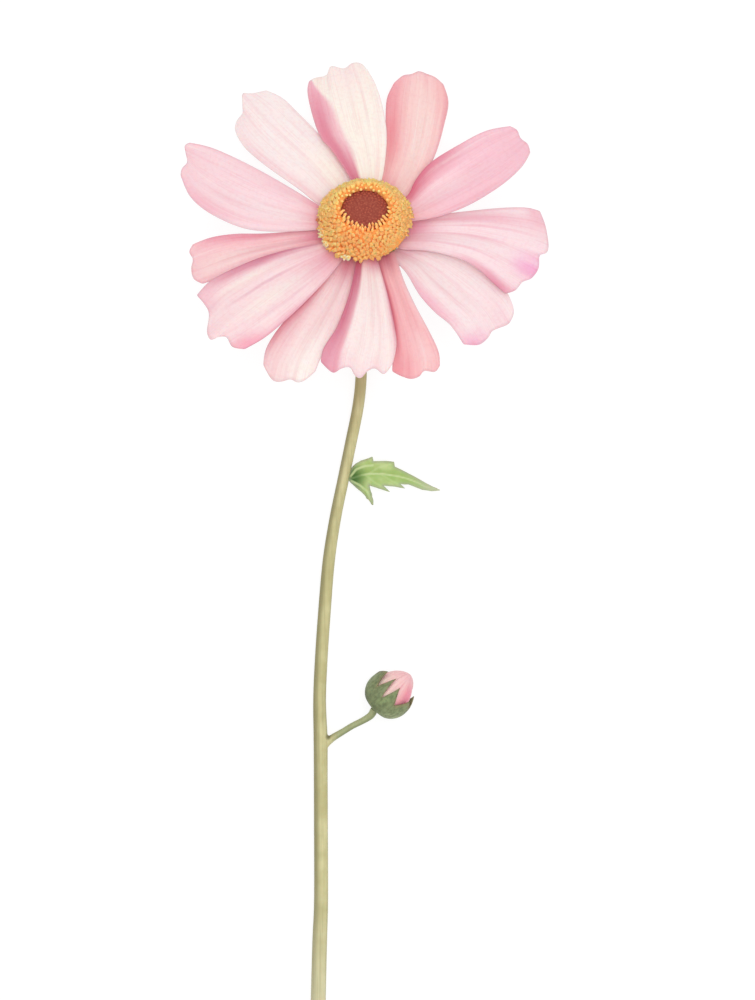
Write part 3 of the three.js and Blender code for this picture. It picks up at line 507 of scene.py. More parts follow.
def value_round(points, turn):
    """The value at a turn, straight between (degrees, value) points."""
    return value_at(points, degrees(turn) % 360)


def around(radius, turn, height):
    """The point at a turn round the third axis."""
    return Vector((radius * cos(turn), radius * sin(turn), height))


# ---- pieces

def frame_at(centre, along):
    """A frame with its third axis along a direction."""
    along = along.normalized()
    side = along.cross(UP if abs(along.z) < 0.95 else Vector((1, 0, 0))).normalized()
    turned = Matrix((side, side.cross(along) * -1, along)).transposed().to_4x4()
    return Matrix.Translation(centre) @ turned


BLOOM_FRAME = Matrix.Translation(BLOOM_PLACE) @ Matrix.Rotation(-BLOOM_TILT, 4, "X")
BUD_SIDE = UP.cross(BUD_AXIS).normalized()
BUD_FRAME = Matrix((BUD_SIDE, BUD_AXIS.cross(BUD_SIDE), BUD_AXIS)).transposed().to_4x4()
BUD_FRAME.translation = BUD_CENTRE


def to_mesh(name, shape):
    """A mesh from a shape, which is let go."""
    mesh = bpy.data.meshes.new(name)
    shape.to_mesh(mesh)
    shape.free()
    return mesh


def add_object(name, data):
    made = bpy.data.objects.new(name, data)
    bpy.context.scene.collection.objects.link(made)
    return made


def add_piece(name, shape, place, material, node):
    """Turns a shape in millimetres into a piece in metres that stands for a node."""
    ops.transform(shape, matrix=Matrix.Scale(MM, 4) @ place, verts=shape.verts)
    mesh = to_mesh(name, shape)
    mesh.shade_smooth()
    mesh.materials.append(material)
    piece = add_object(name, mesh)
    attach(piece, "root")
    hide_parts(node)
    return piece


def thicken(piece, thickness, offset=0.0):
    wall = piece.modifiers.new("wall", "SOLIDIFY")
    wall.thickness = thickness * MM
    wall.offset = offset
    wall.use_even_offset = True


def refine(piece):
    fine = piece.modifiers.new("fine", "SUBSURF")
    fine.levels = 1
    fine.render_levels = 1


def add_marks(shape, *names):
    """Adds numbers that each vertex carries for its paint."""
    return [shape.verts.layers.float.new(name) for name in names]


def face_outwards(shape):
    ops.recalc_face_normals(shape, faces=shape.faces)


def spin_section(shape, section, sides):
    """A round body from its half section, closed on the axis."""
    verts = [shape.verts.new((radius, 0, height)) for radius, height in section]
    edges = [shape.edges.new(pair) for pair in zip(verts, verts[1:])]
    ops.spin(
        shape, geom=verts + edges, cent=(0, 0, 0), axis=UP, dvec=(0, 0, 0),
        angle=2 * pi, steps=sides, use_merge=True,
    )
    ops.remove_doubles(shape, verts=shape.verts, dist=1e-4)
    face_outwards(shape)


def set_paint_place(shape, places):
    """Writes each vertex's place for paint as a UV map. Across is a turn where it wraps."""
    layer = shape.loops.layers.uv.new("paint")
    for face in shape.faces:
        across = [places[loop.vert][0] for loop in face.loops]
        wraps = max(across) - min(across) > 0.5
        for loop in face.loops:
            a, b = places[loop.vert]
            loop[layer].uv = (a + 1 if wraps and a < 0.5 else a, b)


# ---- materials

def linear(colour):
    """A colour as seen, 0 to 255, as amounts of light."""
    parts = [c / 255 for c in colour]
    parts = [c / 12.92 if c <= 0.04045 else ((c + 0.055) / 1.055) ** 2.4 for c in parts]
    return (*parts, 1)


class Look:
    """A material made of a few nodes, whose paint is built up in layers."""

    def __init__(self, name, paint, roughness, specular=0.3, subsurface=0.0):
        self.material = bpy.data.materials.new(name)
        self.material.use_nodes = True
        self.tree = self.material.node_tree
        self.shader = self.tree.nodes["Principled BSDF"]
        self.paint = paint
        self.feed(self.shader, {
            "Roughness": roughness, "Specular IOR Level": specular,
            "Subsurface Weight": subsurface, "Subsurface Scale": SUBSURFACE_REACH * MM,
        })

    def feed(self, node, inputs):
        """Sets inputs of a node, or joins them to the outputs given for them."""
        for key, value in inputs.items():
            if isinstance(value, bpy.types.NodeSocket):
                self.tree.links.new(value, node.inputs[key])
            else:
                node.inputs[key].default_value = value

    def node(self, kind, inputs=None, **settings):
        """Adds a node and returns its outputs."""
        made = self.tree.nodes.new("ShaderNode" + kind)
        for key, value in settings.items():
            setattr(made, key, value)
        self.feed(made, inputs or {})
        return made.outputs

    def mix(self, share, a, b, blend="MIX"):
        a, b = (c if isinstance(c, bpy.types.NodeSocket) else linear(c) for c in (a, b))
        return self.node("Mix", {0: share, 6: a, 7: b}, data_type="RGBA", blend_type=blend)[2]

    def times(self, a, b):
        return self.node("Math", {0: a, 1: b}, operation="MULTIPLY")[0]

    def vector(self, operation, a, b=(0, 0, 0)):
        return self.node("VectorMath", {0: a, 1: b}, operation=operation)

    def parts(self, vector):
        return self.node("SeparateXYZ", {0: vector})

    def span(self, value, low, high, start=0.0, end=1.0):
        """A number that goes smoothly from start to end as a value goes from low to high."""
        ends = {"From Min": low, "From Max": high, "To Min": start, "To Max": end}
        return self.node("MapRange", {"Value": value, **ends}, interpolation_type="SMOOTHSTEP")["Result"]

    def attribute(self, name):
        return self.node("Attribute", attribute_name=name)["Fac"]

    def object_place(self):
        return self.node("TexCoord")["Object"]

    def paint_place(self):
        return self.node("UVMap", uv_map="paint")["UV"]

    def noise(self, place, scale, detail=3.0, stretch=(1, 1, 1), offset=(0, 0, 0)):
        moved = self.node("Mapping", {"Vector": place, "Scale": stretch, "Location": offset})
        return self.node("TexNoise", {"Vector": moved["Vector"], "Scale": scale, "Detail": detail})["Fac"]

    def cover(self, share, colour):
        self.paint = self.mix(share, self.paint, colour)

    def layer(self, value, none, full, strength, colour):
        """Covers the paint with a colour: not at all where a value is none, most where it is full."""
        self.cover(self.span(value, none, full, 0, strength), colour)

    def washed(self, paint, place, washes):
        """A paint with washes laid on it."""
        for across, along, half_width, half_length, colour, strength in washes:
            local = self.node(
                "Mapping",
                {"Vector": place, "Location": (across, along, 0), "Scale": (half_width, half_length, 1)},
                vector_type="TEXTURE",
            )
            away = self.vector("LENGTH", local["Vector"])["Value"]
            paint = self.mix(self.span(away, 0, 1, strength, 0), paint, colour)
        return paint

    def wobble(self, place, scale, amount):
        """A place moved a little by noise, so that washes have uneven edges."""
        cloud = self.node("TexNoise", {"Vector": place, "Scale": scale, "Detail": 2.0})
        centred = self.vector("SUBTRACT", cloud["Color"], (0.5, 0.5, 0.5))["Vector"]
        scaled = self.vector("MULTIPLY", centred, (amount, amount, amount))["Vector"]
        return self.vector("ADD", place, scaled)["Vector"]

    def bump(self, height, depth, strength):
        made = self.node("Bump", {"Height": height, "Distance": depth * MM, "Strength": strength})
        self.feed(self.shader, {"Normal": made["Normal"]})

    def coat(self, tint=PLANT_TINT):
        self.feed(self.shader, {"Base Color": self.mix(1.0, self.paint, tint, "MULTIPLY")})
        return self.material


def petal_look(index, petal):
    look = Look(f"petal_{index:02d}_finish", petal["base"], 0.55, 0.25, 0.12)
    place = look.paint_place()
    look.paint = look.washed(look.paint, look.wobble(place, 4.0, 0.05), petal["washes"])
    if petal.get("turn"):
        # Painted shade on the turned-down margin: deepest towards its edge and at the root.
        fold = look.attribute("fold")
        light, deep, root = petal["fold_shade"]
        turned = look.mix(look.span(fold, 0.05, 0.8), light, deep)
        ends = [(0.5, 0, 3, 0.55, root, 0.95), (0.5, 1, 3, 0.45, FOLD_TIP_SHADE, 0.75)]
        look.layer(fold, 0, 0.34, 1, look.washed(turned, place, ends))
    seed = (index * 3.7, 0, 0)
    streaks = look.noise(place, 1.0, 3.0, (9, 1.2, 1), seed)
    hairlines = look.noise(place, 1.0, 2.0, (58, 2.2, 1), seed)
    mottle = look.noise(look.object_place(), 1500, 2.0)
    deeper = look.mix(1.0, look.paint, STREAK_TINT, "MULTIPLY")
    look.layer(streaks, 0.46, 0.76, 0.36, deeper)
    look.layer(streaks, 0.46, 0.26, 0.22, WHITE)
    look.layer(hairlines, 0.48, 0.72, 0.3, deeper)
    look.layer(mottle, 0.45, 0.7, 0.16, deeper)
    look.layer(look.attribute("edge"), 0.6, 0.1, 0.22, petal.get("edge", EDGE_LINE))
    look.bump(hairlines, 0.08, 0.5)
    return look.coat(PETAL_TINT)


def floret_look():
    look = Look("floret_finish", DISC_GAP, 0.65, 0.2, 0.3)
    rise = look.attribute("rise")
    tone = look.attribute("tone")
    grain = look.noise(look.object_place(), 1900)
    look.layer(rise, 0.05, 0.6, 1, look.mix(tone, DISC_ORANGE, DISC_YELLOW))
    # Painted highlight: lighter towards the lobe tips and the points of the closed florets.
    look.layer(rise, 0.75, 1.1, 0.4, DISC_HIGHLIGHT)
    look.layer(grain, 0.45, 0.7, 0.12, DISC_GAP)
    look.cover(look.times(look.span(tone, 1.4, 1.8), look.span(rise, 0.4, 0.9)), DISC_PALE)
    look.layer(tone, -0.4, -0.8, 1, DISC_DARK)
    look.bump(grain, 0.1, 0.5)
    return look.coat(DISC_TINT)


def middle_look():
    look = Look("disc_middle_finish", MIDDLE_DARK, 0.8, 0.2)
    grain = look.noise(look.object_place(), 2400, 4.0)
    look.layer(look.attribute("rise"), 0, 0.8, 1, MIDDLE_BROWN)
    look.layer(grain, 0.4, 0.75, 0.45, MIDDLE_LIGHT)
    look.bump(grain, 0.1, 0.4)
    return look.coat()


def stem_look():
    look = Look("stem_finish", STEM_OLIVE, 0.58, 0.3, 0.05)
    place = look.object_place()
    x, y, _ = look.parts(place)
    facing_x, facing_y, _ = look.parts(look.node("NewGeometry")["Normal"])
    fibres = look.noise(place, 1.0, 4.0, (2600, 70, 2600))
    look.layer(look.noise(place, 160), 0.3, 0.7, 1, STEM_LIGHT)
    # Painted shade by facing: darker where the stem faces -X, as if lit from +X, and a little darker where
    # it faces straight along +X.
    look.layer(facing_x, 0.1, -0.85, 0.85, STEM_SHADE_AND_FIBRE)
    look.layer(facing_x, 0.75, 1.0, 0.35, STEM_SHADE_AND_FIBRE)
    look.layer(y, 24 * MM, 38 * MM, 0.7, STEM_BROWN)
    look.layer(y, -60 * MM, -99 * MM, 0.6, STEM_PALE)
    stalk = look.times(look.span(x, -7.6 * MM, -4.5 * MM), look.span(y, -20 * MM, -28 * MM))
    look.cover(stalk, STALK_GREEN)
    # Painted shade on the stalk's side facing -Y.
    look.cover(look.times(stalk, look.span(facing_y, 0, -0.9, 0, 0.6)), STALK_SHADE)
    # Painted shade in the crease where stalk and stem part.
    crotch = look.vector("DISTANCE", place, CROTCH * MM)["Value"]
    look.layer(crotch, 0.9 * MM, 0.2 * MM, 0.8, CROTCH_SHADE)
    look.layer(fibres, 0.45, 0.75, 0.35, STEM_SHADE_AND_FIBRE)
    look.layer(y, -99.4 * MM, -99.55 * MM, 1, PITH)
    look.bump(fibres, 0.1, 0.5)
    return look.coat()


def leaf_look():
    look = Look("leaf_finish", LEAF_GREEN, 0.5, 0.3, 0.08)
    place = look.object_place()
    vein, rib, edge, foot, fork = (look.attribute(name) for name in LEAF_MARKS)
    cloud = look.noise(place, 420)
    look.layer(cloud, 0.35, 0.7, 1, LEAF_LIGHT)
    look.layer(rib, 1.5, 0.3, 0.5, LEAF_FRESH)
    # Painted shade: darker near the leaf's foot, where it meets the stem.
    look.layer(foot, 4.6, 1, 1, LEAF_FOOT_SHADE)
    look.layer(vein, 0.35, 0.05, 0.34, LEAF_PALE)
    look.layer(fork, 0.35, 0.05, 0.75, LEAF_PALE)
    midrib = look.times(look.span(foot, 2.2, 4, 0.15, 0.85), look.span(rib, 0.05, 0.24, 1, 0))
    look.cover(midrib, LEAF_PALE)
    look.layer(edge, 0.7, 0.05, 0.75, LEAF_RIM)
    look.layer(look.parts(place)["X"], 8 * MM, 14 * MM, 0.7, LEAF_TIP)
    look.bump(cloud, 0.1, 0.4)
    return look.coat()


def base_look():
    look = Look("base_finish", BASE_GREEN, 0.6, 0.3)
    grain = look.noise(look.object_place(), 900)
    look.layer(grain, 0.35, 0.7, 1, BASE_LIGHT)
    look.layer(look.attribute("rise"), 0.55, 1, 0.6, BASE_BROWN)
    look.bump(grain, 0.1, 0.4)
    return look.coat()


def bud_look(name, base, washes, grain_colour, mottling):
    look = Look(name, base, 0.55, 0.3, 0.05)
    place = look.paint_place()
    look.paint = look.washed(base, look.wobble(place, 5.0, 0.03), washes)
    lines = look.noise(place, 1.0, 3.0, (60, 2.5, 1))
    look.layer(lines, 0.45, 0.72, 0.45, grain_colour)
    look.layer(look.noise(look.object_place(), 1300), 0.42, 0.66, mottling, grain_colour)
    look.bump(lines, 0.08, 0.5)
    return look.coat()


# ---- petals

def over_bloom(x, y, height):
    """The point over the bloom's face that lies at x, y seen from straight above."""
    return Vector((x, (y - height * sin(BLOOM_TILT)) / cos(BLOOM_TILT), height))


def petal_height(petal, along, across, distance):
    middle = 2 * across - 1
    body = max(0, sin(pi * min(1, along * 1.1))) ** 1.2
    height = -petal["row"] * ROW_GAP
    height += (distance - PETAL_ROOT_RADIUS) * tan(radians(petal["rise"]))
    height += petal["arch"] * sin(pi * along) - petal["droop"] * along ** 3
    height += petal["cup"] * middle ** 2 * smooth_step(0, 1, along)
    height -= petal["pleat"] * cos(2 * pi * middle) * body
    height += RIB_DEPTH * cos(2 * pi * RIBS * across) * body
    if petal.get("turn"):
        inside = across if petal["turn_side"] < 0 else 1 - across
        ramp = max(0, 1 - inside / petal["turn_width"])
        height -= petal["turn"] * ramp * min(1, along * 2) ** 2
    return height


def petal_root(petal, side):
    """The end of a petal's root on one side (1 left, -1 right), seen from above."""
    (lx, ly), (rx, ry) = petal["left"][0], petal["right"][0]
    middle = Vector((lx + rx, (ly + ry) / cos(BLOOM_TILT))).normalized()
    u = middle.x * PETAL_ROOT_RADIUS - side * middle.y * PETAL_ROOT_WIDTH / 2
    v = middle.y * PETAL_ROOT_RADIUS + side * middle.x * PETAL_ROOT_WIDTH / 2
    sunk = petal["row"] * ROW_GAP * sin(BLOOM_TILT)
    return (u, v * cos(BLOOM_TILT) - sunk)


def petal_sheet(petal):
    left = walk([petal_root(petal, 1)] + petal["left"], PETAL_ROWS)
    right = walk([petal_root(petal, -1)] + petal["right"], PETAL_ROWS)
    tip = walk([petal["left"][-1]] + petal["tip"] + [petal["right"][-1]], PETAL_COLUMNS)
    length = (left[-1] - left[0]).length
    shape = bmesh.new()
    ops.create_grid(shape, x_segments=PETAL_COLUMNS, y_segments=PETAL_ROWS, size=1)
    edge, fold = add_marks(shape, "edge", "fold")
    places = {}
    for vert in shape.verts:
        across = (vert.co.x + 1) / 2
        along = (vert.co.y + 1) / 2
        row = round(along * PETAL_ROWS)
        column = round(across * PETAL_COLUMNS)
        point = left[row].lerp(right[row], across)
        point += (tip[column] - tip[0].lerp(tip[-1], across)) * along ** TIP_SPREAD
        distance = hypot(point.x, point.y / cos(BLOOM_TILT))
        vert.co = over_bloom(point.x, point.y, petal_height(petal, along, across, distance))
        width = (right[row] - left[row]).length
        vert[edge] = min(across * width, (1 - across) * width, (1 - along) * length)
        places[vert] = (across, along)
        if petal.get("turn"):
            inside = across if petal["turn_side"] < 0 else 1 - across
            vert[fold] = max(0, 1 - inside / value_at(petal["fold"], along))
    set_paint_place(shape, places)
    return shape


def make_petals():
    for index, petal in enumerate(PETALS, 1):
        look = petal_look(index, petal)
        sheet = petal_sheet(petal)
        node = f"petal_{index:02d}"
        piece = add_piece(f"bloom_{node}", sheet, BLOOM_FRAME, look, node)
        thicken(piece, PETAL_THICKNESS)
        refine(piece)


# ---- disc

def add_floret(shape, layers, draw, place, direction, closed, tone, longer):
    """A floret sunk into what it stands on: a tube with a star of lobes, or closed to a point."""
    rise, tones = layers
    size = FLORET_SIZE * draw.uniform(0.85, 1.15)
    height = FLORET_HEIGHT * draw.uniform(0.82, 1.15) * (0.9 if closed else 1) + longer
    made = ops.create_cone(
        shape, cap_ends=True, cap_tris=True, segments=2 * FLORET_LOBES,
        radius1=size * 0.6, radius2=size, depth=height,
    )["verts"]
    step = pi / FLORET_LOBES
    for vert in made:
        vert[tones] = tone
        radius = hypot(vert.co.x, vert.co.y)
        if vert.co.z < 0:
            vert[rise] = 0
        elif radius < 1e-6:
            vert.co.z += height * (0.34 if closed else -0.16)
            vert[rise] = 1.1 if closed else 0.2
        elif closed:
            vert.co.x *= 0.6
            vert.co.y *= 0.6
            vert.co.z -= height * 0.1
            vert[rise] = 0.75
        else:
            lobe = round(atan2(vert.co.y, vert.co.x) / step) % 2 == 0
            spread = draw.uniform(1, 1.35) if lobe else 0.6
            vert.co.x *= spread
            vert.co.y *= spread
            vert.co.z += height * (draw.uniform(0, 0.14) if lobe else -0.08)
            vert[rise] = 1 if lobe else 0.65
    turned = frame_at(place + direction * (height / 2 - FLORET_DEPTH), direction)
    twist = Matrix.Rotation(draw.uniform(0, 2 * pi), 4, "Z")
    ops.transform(shape, matrix=turned @ twist, verts=made)


def floret_tone(draw, turn, share):
    """0 is orange and 1 yellow; round the foot of the disc some are pale (2) or dark (-1)."""
    for tone, turns in ((2, PALE_TURNS), (-1, DARK_TURNS)):
        if share > FOOT_SHARE and any(start < degrees(turn) % 360 < end for start, end in turns):
            return tone
    tone = 0.45 + 0.3 * sin(turn) - 0.05 * cos(turn) + draw.uniform(-0.3, 0.3)
    return min(1, max(0, tone))


def make_disc():
    draw = random.Random(FLORET_SEED)
    shape = bmesh.new()
    layers = add_marks(shape, "rise", "tone")
    slope = [(point.x, point.y) for point in reversed(walk(DISC_SECTION, 12))]
    section = [(0, DISC_FLOOR), (DISC_FLOOR_RADIUS, DISC_FLOOR)] + slope
    section += [(WELL_RADIUS, WELL_FLOOR), (0, WELL_FLOOR)]
    spin_section(shape, section, DISC_SIDES)
    steps = 200
    path = walk(FLORET_SECTION, steps)
    length = sum((b - a).length for a, b in zip(path, path[1:]))
    walked = 0.0
    count = 0
    while walked < length:
        share = walked / length
        index = min(steps - 1, int(share * steps))
        spot = path[index].lerp(path[index + 1], share * steps - index)
        tangent = (path[index + 1] - path[index]).normalized()
        turn = count * GOLDEN_ANGLE
        walked += FLORET_AREA / (2 * pi * spot.x)
        count += 1
        if spot.x < value_round(MIDDLE_EDGE, turn):
            continue
        outward = around(1, turn, 0)
        closed = spot.x < BUDDED_RADIUS
        normal = outward * -tangent.y + UP * tangent.x
        normal += outward * (-BUDDED_LEAN if closed else 0)
        normal += Vector([draw.uniform(-FLORET_SWAY, FLORET_SWAY) for _ in range(3)])
        place = outward * spot.x + UP * spot.y
        foot = value_round(FOOT_REACH, turn) * smooth_step(0.6, 1, share)
        far = smooth_step(0.3, 0.95, sin(turn)) * smooth_step(0.2, 0.5, share)
        place -= normal.normalized() * (FAR_SINK * far - min(0, foot))
        tone = floret_tone(draw, turn, share)
        add_floret(shape, layers, draw, place, normal.normalized(), closed, tone, max(0, foot))
    add_piece("disc_floret_ring", shape, BLOOM_FRAME, floret_look(), "disc_florets")


def make_middle():
    draw = random.Random(MIDDLE_SEED)
    shape = bmesh.new()
    [rise] = add_marks(shape, "rise")
    section = [
        (0, WELL_FLOOR + 0.3), (MIDDLE_RADIUS, WELL_FLOOR + 0.3), (MIDDLE_RADIUS, MIDDLE_TOP - 0.45),
        (MIDDLE_RADIUS - 0.5, MIDDLE_TOP - 0.1), (MIDDLE_RADIUS * 0.5, MIDDLE_TOP + 0.1),
        (0, MIDDLE_TOP),
    ]
    spin_section(shape, section, sides=48)
    for n in range(MIDDLE_BUMPS):
        radius = (MIDDLE_RADIUS - 0.15) * sqrt((n + 0.5) / MIDDLE_BUMPS)
        turn = n * GOLDEN_ANGLE
        place = around(radius, turn, MIDDLE_TOP - MIDDLE_BUMP_SINK)
        size = MIDDLE_BUMP_SIZE * draw.uniform(0.85, 1.15)
        bump = ops.create_icosphere(
            shape, subdivisions=1, radius=size, matrix=Matrix.Translation(place)
        )["verts"]
        for vert in bump:
            vert[rise] = (vert.co.z - place.z) / size
    add_piece("disc_brown_middle", shape, BLOOM_FRAME, middle_look(), "disc_centre")


# ---- green base

def base_height(radius):
    """The underside of the base at a distance from the bloom's axis."""
    return BASE_LOW - BRACT_GAP - BRACT_DROP * (1 - smooth_step(1.6, 6.6, radius))


def add_bract(shape, rise, turn):
    """A pointed green blade under the petals."""
    made = ops.create_grid(shape, x_segments=10, y_segments=16, size=1)["verts"]
    for vert in made:
        across = vert.co.x
        along = (vert.co.y + 1) / 2
        radius = BRACT_START + (BRACT_REACH - BRACT_START) * along
        half = BRACT_HALF_WIDTH * min(1, 0.4 + 1.4 * along) * (1 - along ** 2.4)
        sink = 0.16 * (1 - abs(across)) + 0.1 * along ** 3
        vert.co = (radius, across * max(half, 0.06), base_height(radius) - sink)
        vert[rise] = max(along, abs(across) ** 4 * 0.8)
    ops.transform(shape, matrix=Matrix.Rotation(turn, 4, "Z"), verts=made)


def make_base():
    shape = bmesh.new()
    [rise] = add_marks(shape, "rise")
    for k in range(BRACT_COUNT):
        add_bract(shape, rise, 2 * pi * k / BRACT_COUNT)
    face_outwards(shape)
    ops.solidify(shape, geom=shape.faces[:], thickness=BRACT_THICKNESS)
    cup = bmesh.new()
    section = [(radius, BASE_LOW + height) for radius, height in BASE_SECTION]
    section += [(6.7, DISC_FLOOR - 0.4), (6.4, DISC_FLOOR - 0.2), (0, DISC_FLOOR - 0.2)]
    add_marks(cup, "rise")
    spin_section(cup, section, sides=64)
    joined = to_mesh("cup", cup)
    shape.from_mesh(joined)
    bpy.data.meshes.remove(joined)
    add_piece("bloom_base", shape, BLOOM_FRAME, base_look(), "involucre")


# ---- stem and stalk

def ring_edges(ring):
    """The edges that join the points of a ring."""
    return [e for e in {e for v in ring for e in v.link_edges} if all(v in ring for v in e.verts)]


def add_tube(shape, stations, sides, steps):
    """A round stem through its stations, closed at both ends."""
    points = [Vector(station[:3]) for station in stations]
    widths = [(index, station[3]) for index, station in enumerate(stations)]
    frames = []
    for k in range(steps + 1):
        place = k / steps * (len(stations) - 1)
        ahead = curve_point(points, min(place + 0.01, len(points) - 1), True)
        behind = curve_point(points, max(place - 0.01, 0), True)
        frame = frame_at(curve_point(points, place, True), ahead - behind)
        frames.append(frame @ Matrix.Scale((value_at(widths, place) + STEM_ALLOWANCE) / 2, 4))
    ring = ops.create_circle(shape, cap_ends=True, segments=sides, radius=1, matrix=frames[0])["verts"]
    for here, there in zip(frames, frames[1:]):
        grown = ops.extrude_edge_only(shape, edges=ring_edges(ring))["geom"]
        ring = [item for item in grown if isinstance(item, bmesh.types.BMVert)]
        ops.transform(shape, matrix=there @ here.inverted(), verts=ring)
    ops.contextual_create(shape, geom=ring_edges(ring))
    face_outwards(shape)


def make_stem():
    shape = bmesh.new()
    add_tube(shape, STEM_STATIONS, sides=24, steps=150)
    add_tube(shape, STALK_STATIONS, sides=20, steps=40)
    piece = add_piece("stem_and_stalk", shape, Matrix.Identity(4), stem_look(), "stem")
    weld = piece.modifiers.new("weld", "REMESH")
    weld.mode = "VOXEL"
    weld.voxel_size = STEM_VOXEL * MM
    weld.use_smooth_shade = True
    soft = piece.modifiers.new("soft", "SMOOTH")
    soft.factor = 0.5
    soft.iterations = 3


# ---- leaf

def distance_to_line(point, line):
    """(distance, share along) from a point to a line through some points, seen from above."""
    best = (1e9, 0)
    for index, (a, b) in enumerate(zip(line, line[1:])):
        start, end = Vector(a[:2]), Vector(b[:2])
        step = end - start
        share = min(1, max(0, (point - start).dot(step) / step.length_squared))
        away = (point - start - step * share).length
        if away < best[0]:
            best = (away, index + share)
    return best


def make_leaf():
    shape = bmesh.new()
    outline = [shape.verts.new((x, y, 0)) for x, y in LEAF_OUTLINE]
    shape.faces.new(outline)
    face_outwards(shape)
    lowest = Vector([min(p[k] for p in LEAF_OUTLINE) for k in (0, 1)])
    highest = Vector([max(p[k] for p in LEAF_OUTLINE) for k in (0, 1)])
    for axis in (0, 1):
        normal = Vector((axis == 0, axis == 1, 0))
        cuts = int((highest[axis] - lowest[axis]) / LEAF_CELL)
        for k in range(1, cuts + 1):
            geom = shape.verts[:] + shape.edges[:] + shape.faces[:]
            ops.bisect_plane(
                shape, geom=geom, dist=1e-5, plane_no=normal,
                plane_co=normal * (lowest[axis] + k * LEAF_CELL),
            )
    if sum(face.normal.z for face in shape.faces) < 0:
        ops.reverse_faces(shape, faces=shape.faces)
    vein, rib, edge, foot, fork = add_marks(shape, *LEAF_MARKS)
    margin = LEAF_OUTLINE + LEAF_OUTLINE[:1]
    heights = [Vector((point[2], 0, 0)) for point in LEAF_RIB]
    for vert in shape.verts:
        point = vert.co.xy
        away, place = distance_to_line(point, LEAF_RIB)
        lines = [distance_to_line(point, line)[0] for line in LEAF_VEINS]
        side = min(lines)
        height = curve_point(heights, place, False).x
        sink = min(LEAF_FOLD * away / (1 + 0.18 * away), height - LEAF_GROUND)
        relief = 0.1 * exp(-(away / 0.25) ** 2) + 0.04 * exp(-(side / 0.25) ** 2)
        vert.co.z = height - sink + relief
        vert[vein] = side
        vert[fork] = min(lines[:2])
        vert[rib] = away
        vert[edge] = distance_to_line(point, margin)[0]
        vert[foot] = (point - Vector(LEAF_RIB[0][:2])).length
    piece = add_piece("leaf_blade", shape, Matrix.Identity(4), leaf_look(), "leaf")
    thicken(piece, LEAF_THICKNESS)


# ---- bud

def bud_point(along, turn, swell):
    """A point of the bud: along runs from -1 at the stalk to 1 at the top."""
    length = BUD_AHEAD if along > 0 else BUD_BEHIND
    profile = max(0, 1 - along * along) ** (0.62 if along > 0 else 0.5)
    radius = BUD_HALF_WIDTH * profile + swell * min(1, 2 * profile)
    return around(radius, turn, along * (length + swell))


def make_bud_petals():
    shape = bmesh.new()
    ops.create_uvsphere(shape, u_segments=90, v_segments=40, radius=1)
    places = {}
    for vert in shape.verts:
        along = max(-1, min(1, vert.co.z))
        turn = atan2(vert.co.y, vert.co.x) % (2 * pi)
        phase = (turn * 5 / (2 * pi) + 0.35 * along + 10.85) % 1
        fold = 0.4 * phase * max(0, along + 0.3) * sqrt(max(0, 1 - along * along))
        vert.co = bud_point(along, turn, -fold)
        vert.co.xy *= BUD_PETAL_FULLNESS
        places[vert] = (turn / (2 * pi), (along + 1) / 2)
    set_paint_place(shape, places)
    look = bud_look("bud_petal_finish", BUD_PINK, BUD_PETAL_WASHES, BUD_LINE, 0.12)
    add_piece("bud_folded_petals", shape, BUD_FRAME, look, "bud_petals")


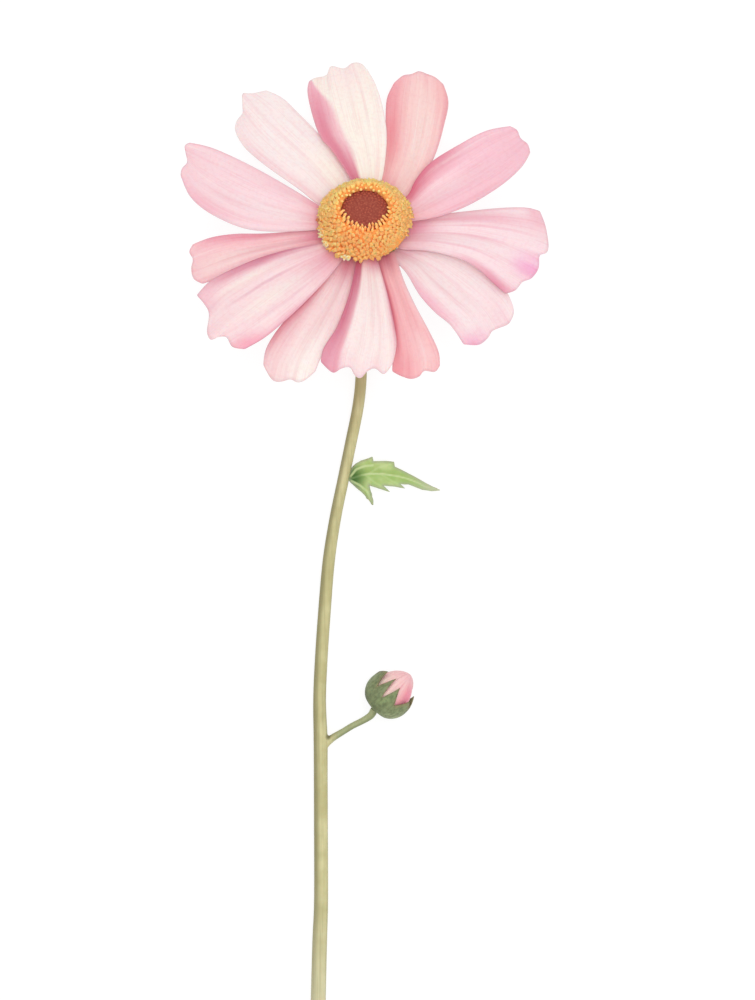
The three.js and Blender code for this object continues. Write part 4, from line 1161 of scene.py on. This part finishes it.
def make_calyx():
    shape = bmesh.new()
    sides, rings = 144, 18
    ops.create_grid(shape, x_segments=sides, y_segments=rings, size=1)
    wall = shape.verts.layers.deform.verify()
    places = {}
    for vert in shape.verts:
        share = (vert.co.x + 1) / 2
        step = (vert.co.y + 1) / 2
        turn = 2 * pi * share
        angle = acos(-value_round(CALYX_RIM, turn)) * step
        hug = CALYX_HUG * sin(turn) ** 2 * smooth_step(0.5, 1, step)
        vert.co = bud_point(-cos(angle), turn, CALYX_SWELL - hug)
        vert[wall][0] = 1 - 0.6 * smooth_step(0.6, 1, step)
        places[vert] = (share, step)
    set_paint_place(shape, places)
    ops.remove_doubles(shape, verts=shape.verts, dist=1e-4)
    face_outwards(shape)
    if sum(face.normal.dot(face.calc_center_median()) for face in shape.faces) < 0:
        ops.reverse_faces(shape, faces=shape.faces)
    look = bud_look("calyx_finish", CALYX_GREEN, CALYX_WASHES, CALYX_SHADE_AND_GRAIN, 0.5)
    piece = add_piece("bud_cup", shape, BUD_FRAME, look, "bud_calyx")
    piece.vertex_groups.new(name="wall")
    thicken(piece, CALYX_THICKNESS, -1.0)
    piece.modifiers["wall"].vertex_group = "wall"


# ---- stage

TABLE_HALF = 3  # half its width, in metres
TABLE_GLOW = 0.8
TABLE_GREY = (134, 134, 134)
TABLE_LIGHT = (138, 138, 138)
SKY_LIGHT = 0.88
KEY_LIGHT = 0.99
KEY_SPREAD = 35  # degrees
KEY_FROM = Vector((0.1, 0.05, 1))
CAMERA_LENS = 800
VIEW_HEIGHT = 200  # on the table
VIEW_MIDDLE = (2.5, 12.2)


def make_stage():
    shape = bmesh.new()
    ops.create_grid(shape, x_segments=1, y_segments=1, size=TABLE_HALF)
    floor = add_object("table_top", to_mesh("table_top", shape))
    look = Look("table_finish", TABLE_GREY, 0.9, 0.1)
    look.feed(look.shader, {"Emission Color": (1, 1, 1, 1), "Emission Strength": TABLE_GLOW})
    look.cover(look.noise(look.object_place(), 40, 2.0), TABLE_LIGHT)
    floor.data.materials.append(look.coat())


def make_lights():
    world = bpy.data.worlds.new("studio")
    world.use_nodes = True
    bpy.context.scene.world = world
    sky = world.node_tree.nodes["Background"].inputs
    sky["Color"].default_value = (1, 1, 1, 1)
    sky["Strength"].default_value = SKY_LIGHT
    sun = bpy.data.lights.new("key", "SUN")
    sun.energy = KEY_LIGHT
    sun.angle = radians(KEY_SPREAD)
    add_object("key", sun).rotation_euler = KEY_FROM.to_track_quat("Z", "Y").to_euler()


def make_camera():
    lens = bpy.data.cameras.new("camera")
    lens.lens = CAMERA_LENS
    lens.sensor_width = 36
    lens.clip_end = 100
    camera = add_object("camera", lens)
    camera.location = Vector((*VIEW_MIDDLE, VIEW_HEIGHT * CAMERA_LENS / lens.sensor_width)) * MM
    bpy.context.scene.camera = camera
    bpy.context.scene.view_settings.view_transform = "Standard"


make_camera()
make_lights()
make_stage()
make_petals()
make_disc()
make_middle()
make_base()
make_stem()
make_leaf()
make_bud_petals()
make_calyx()
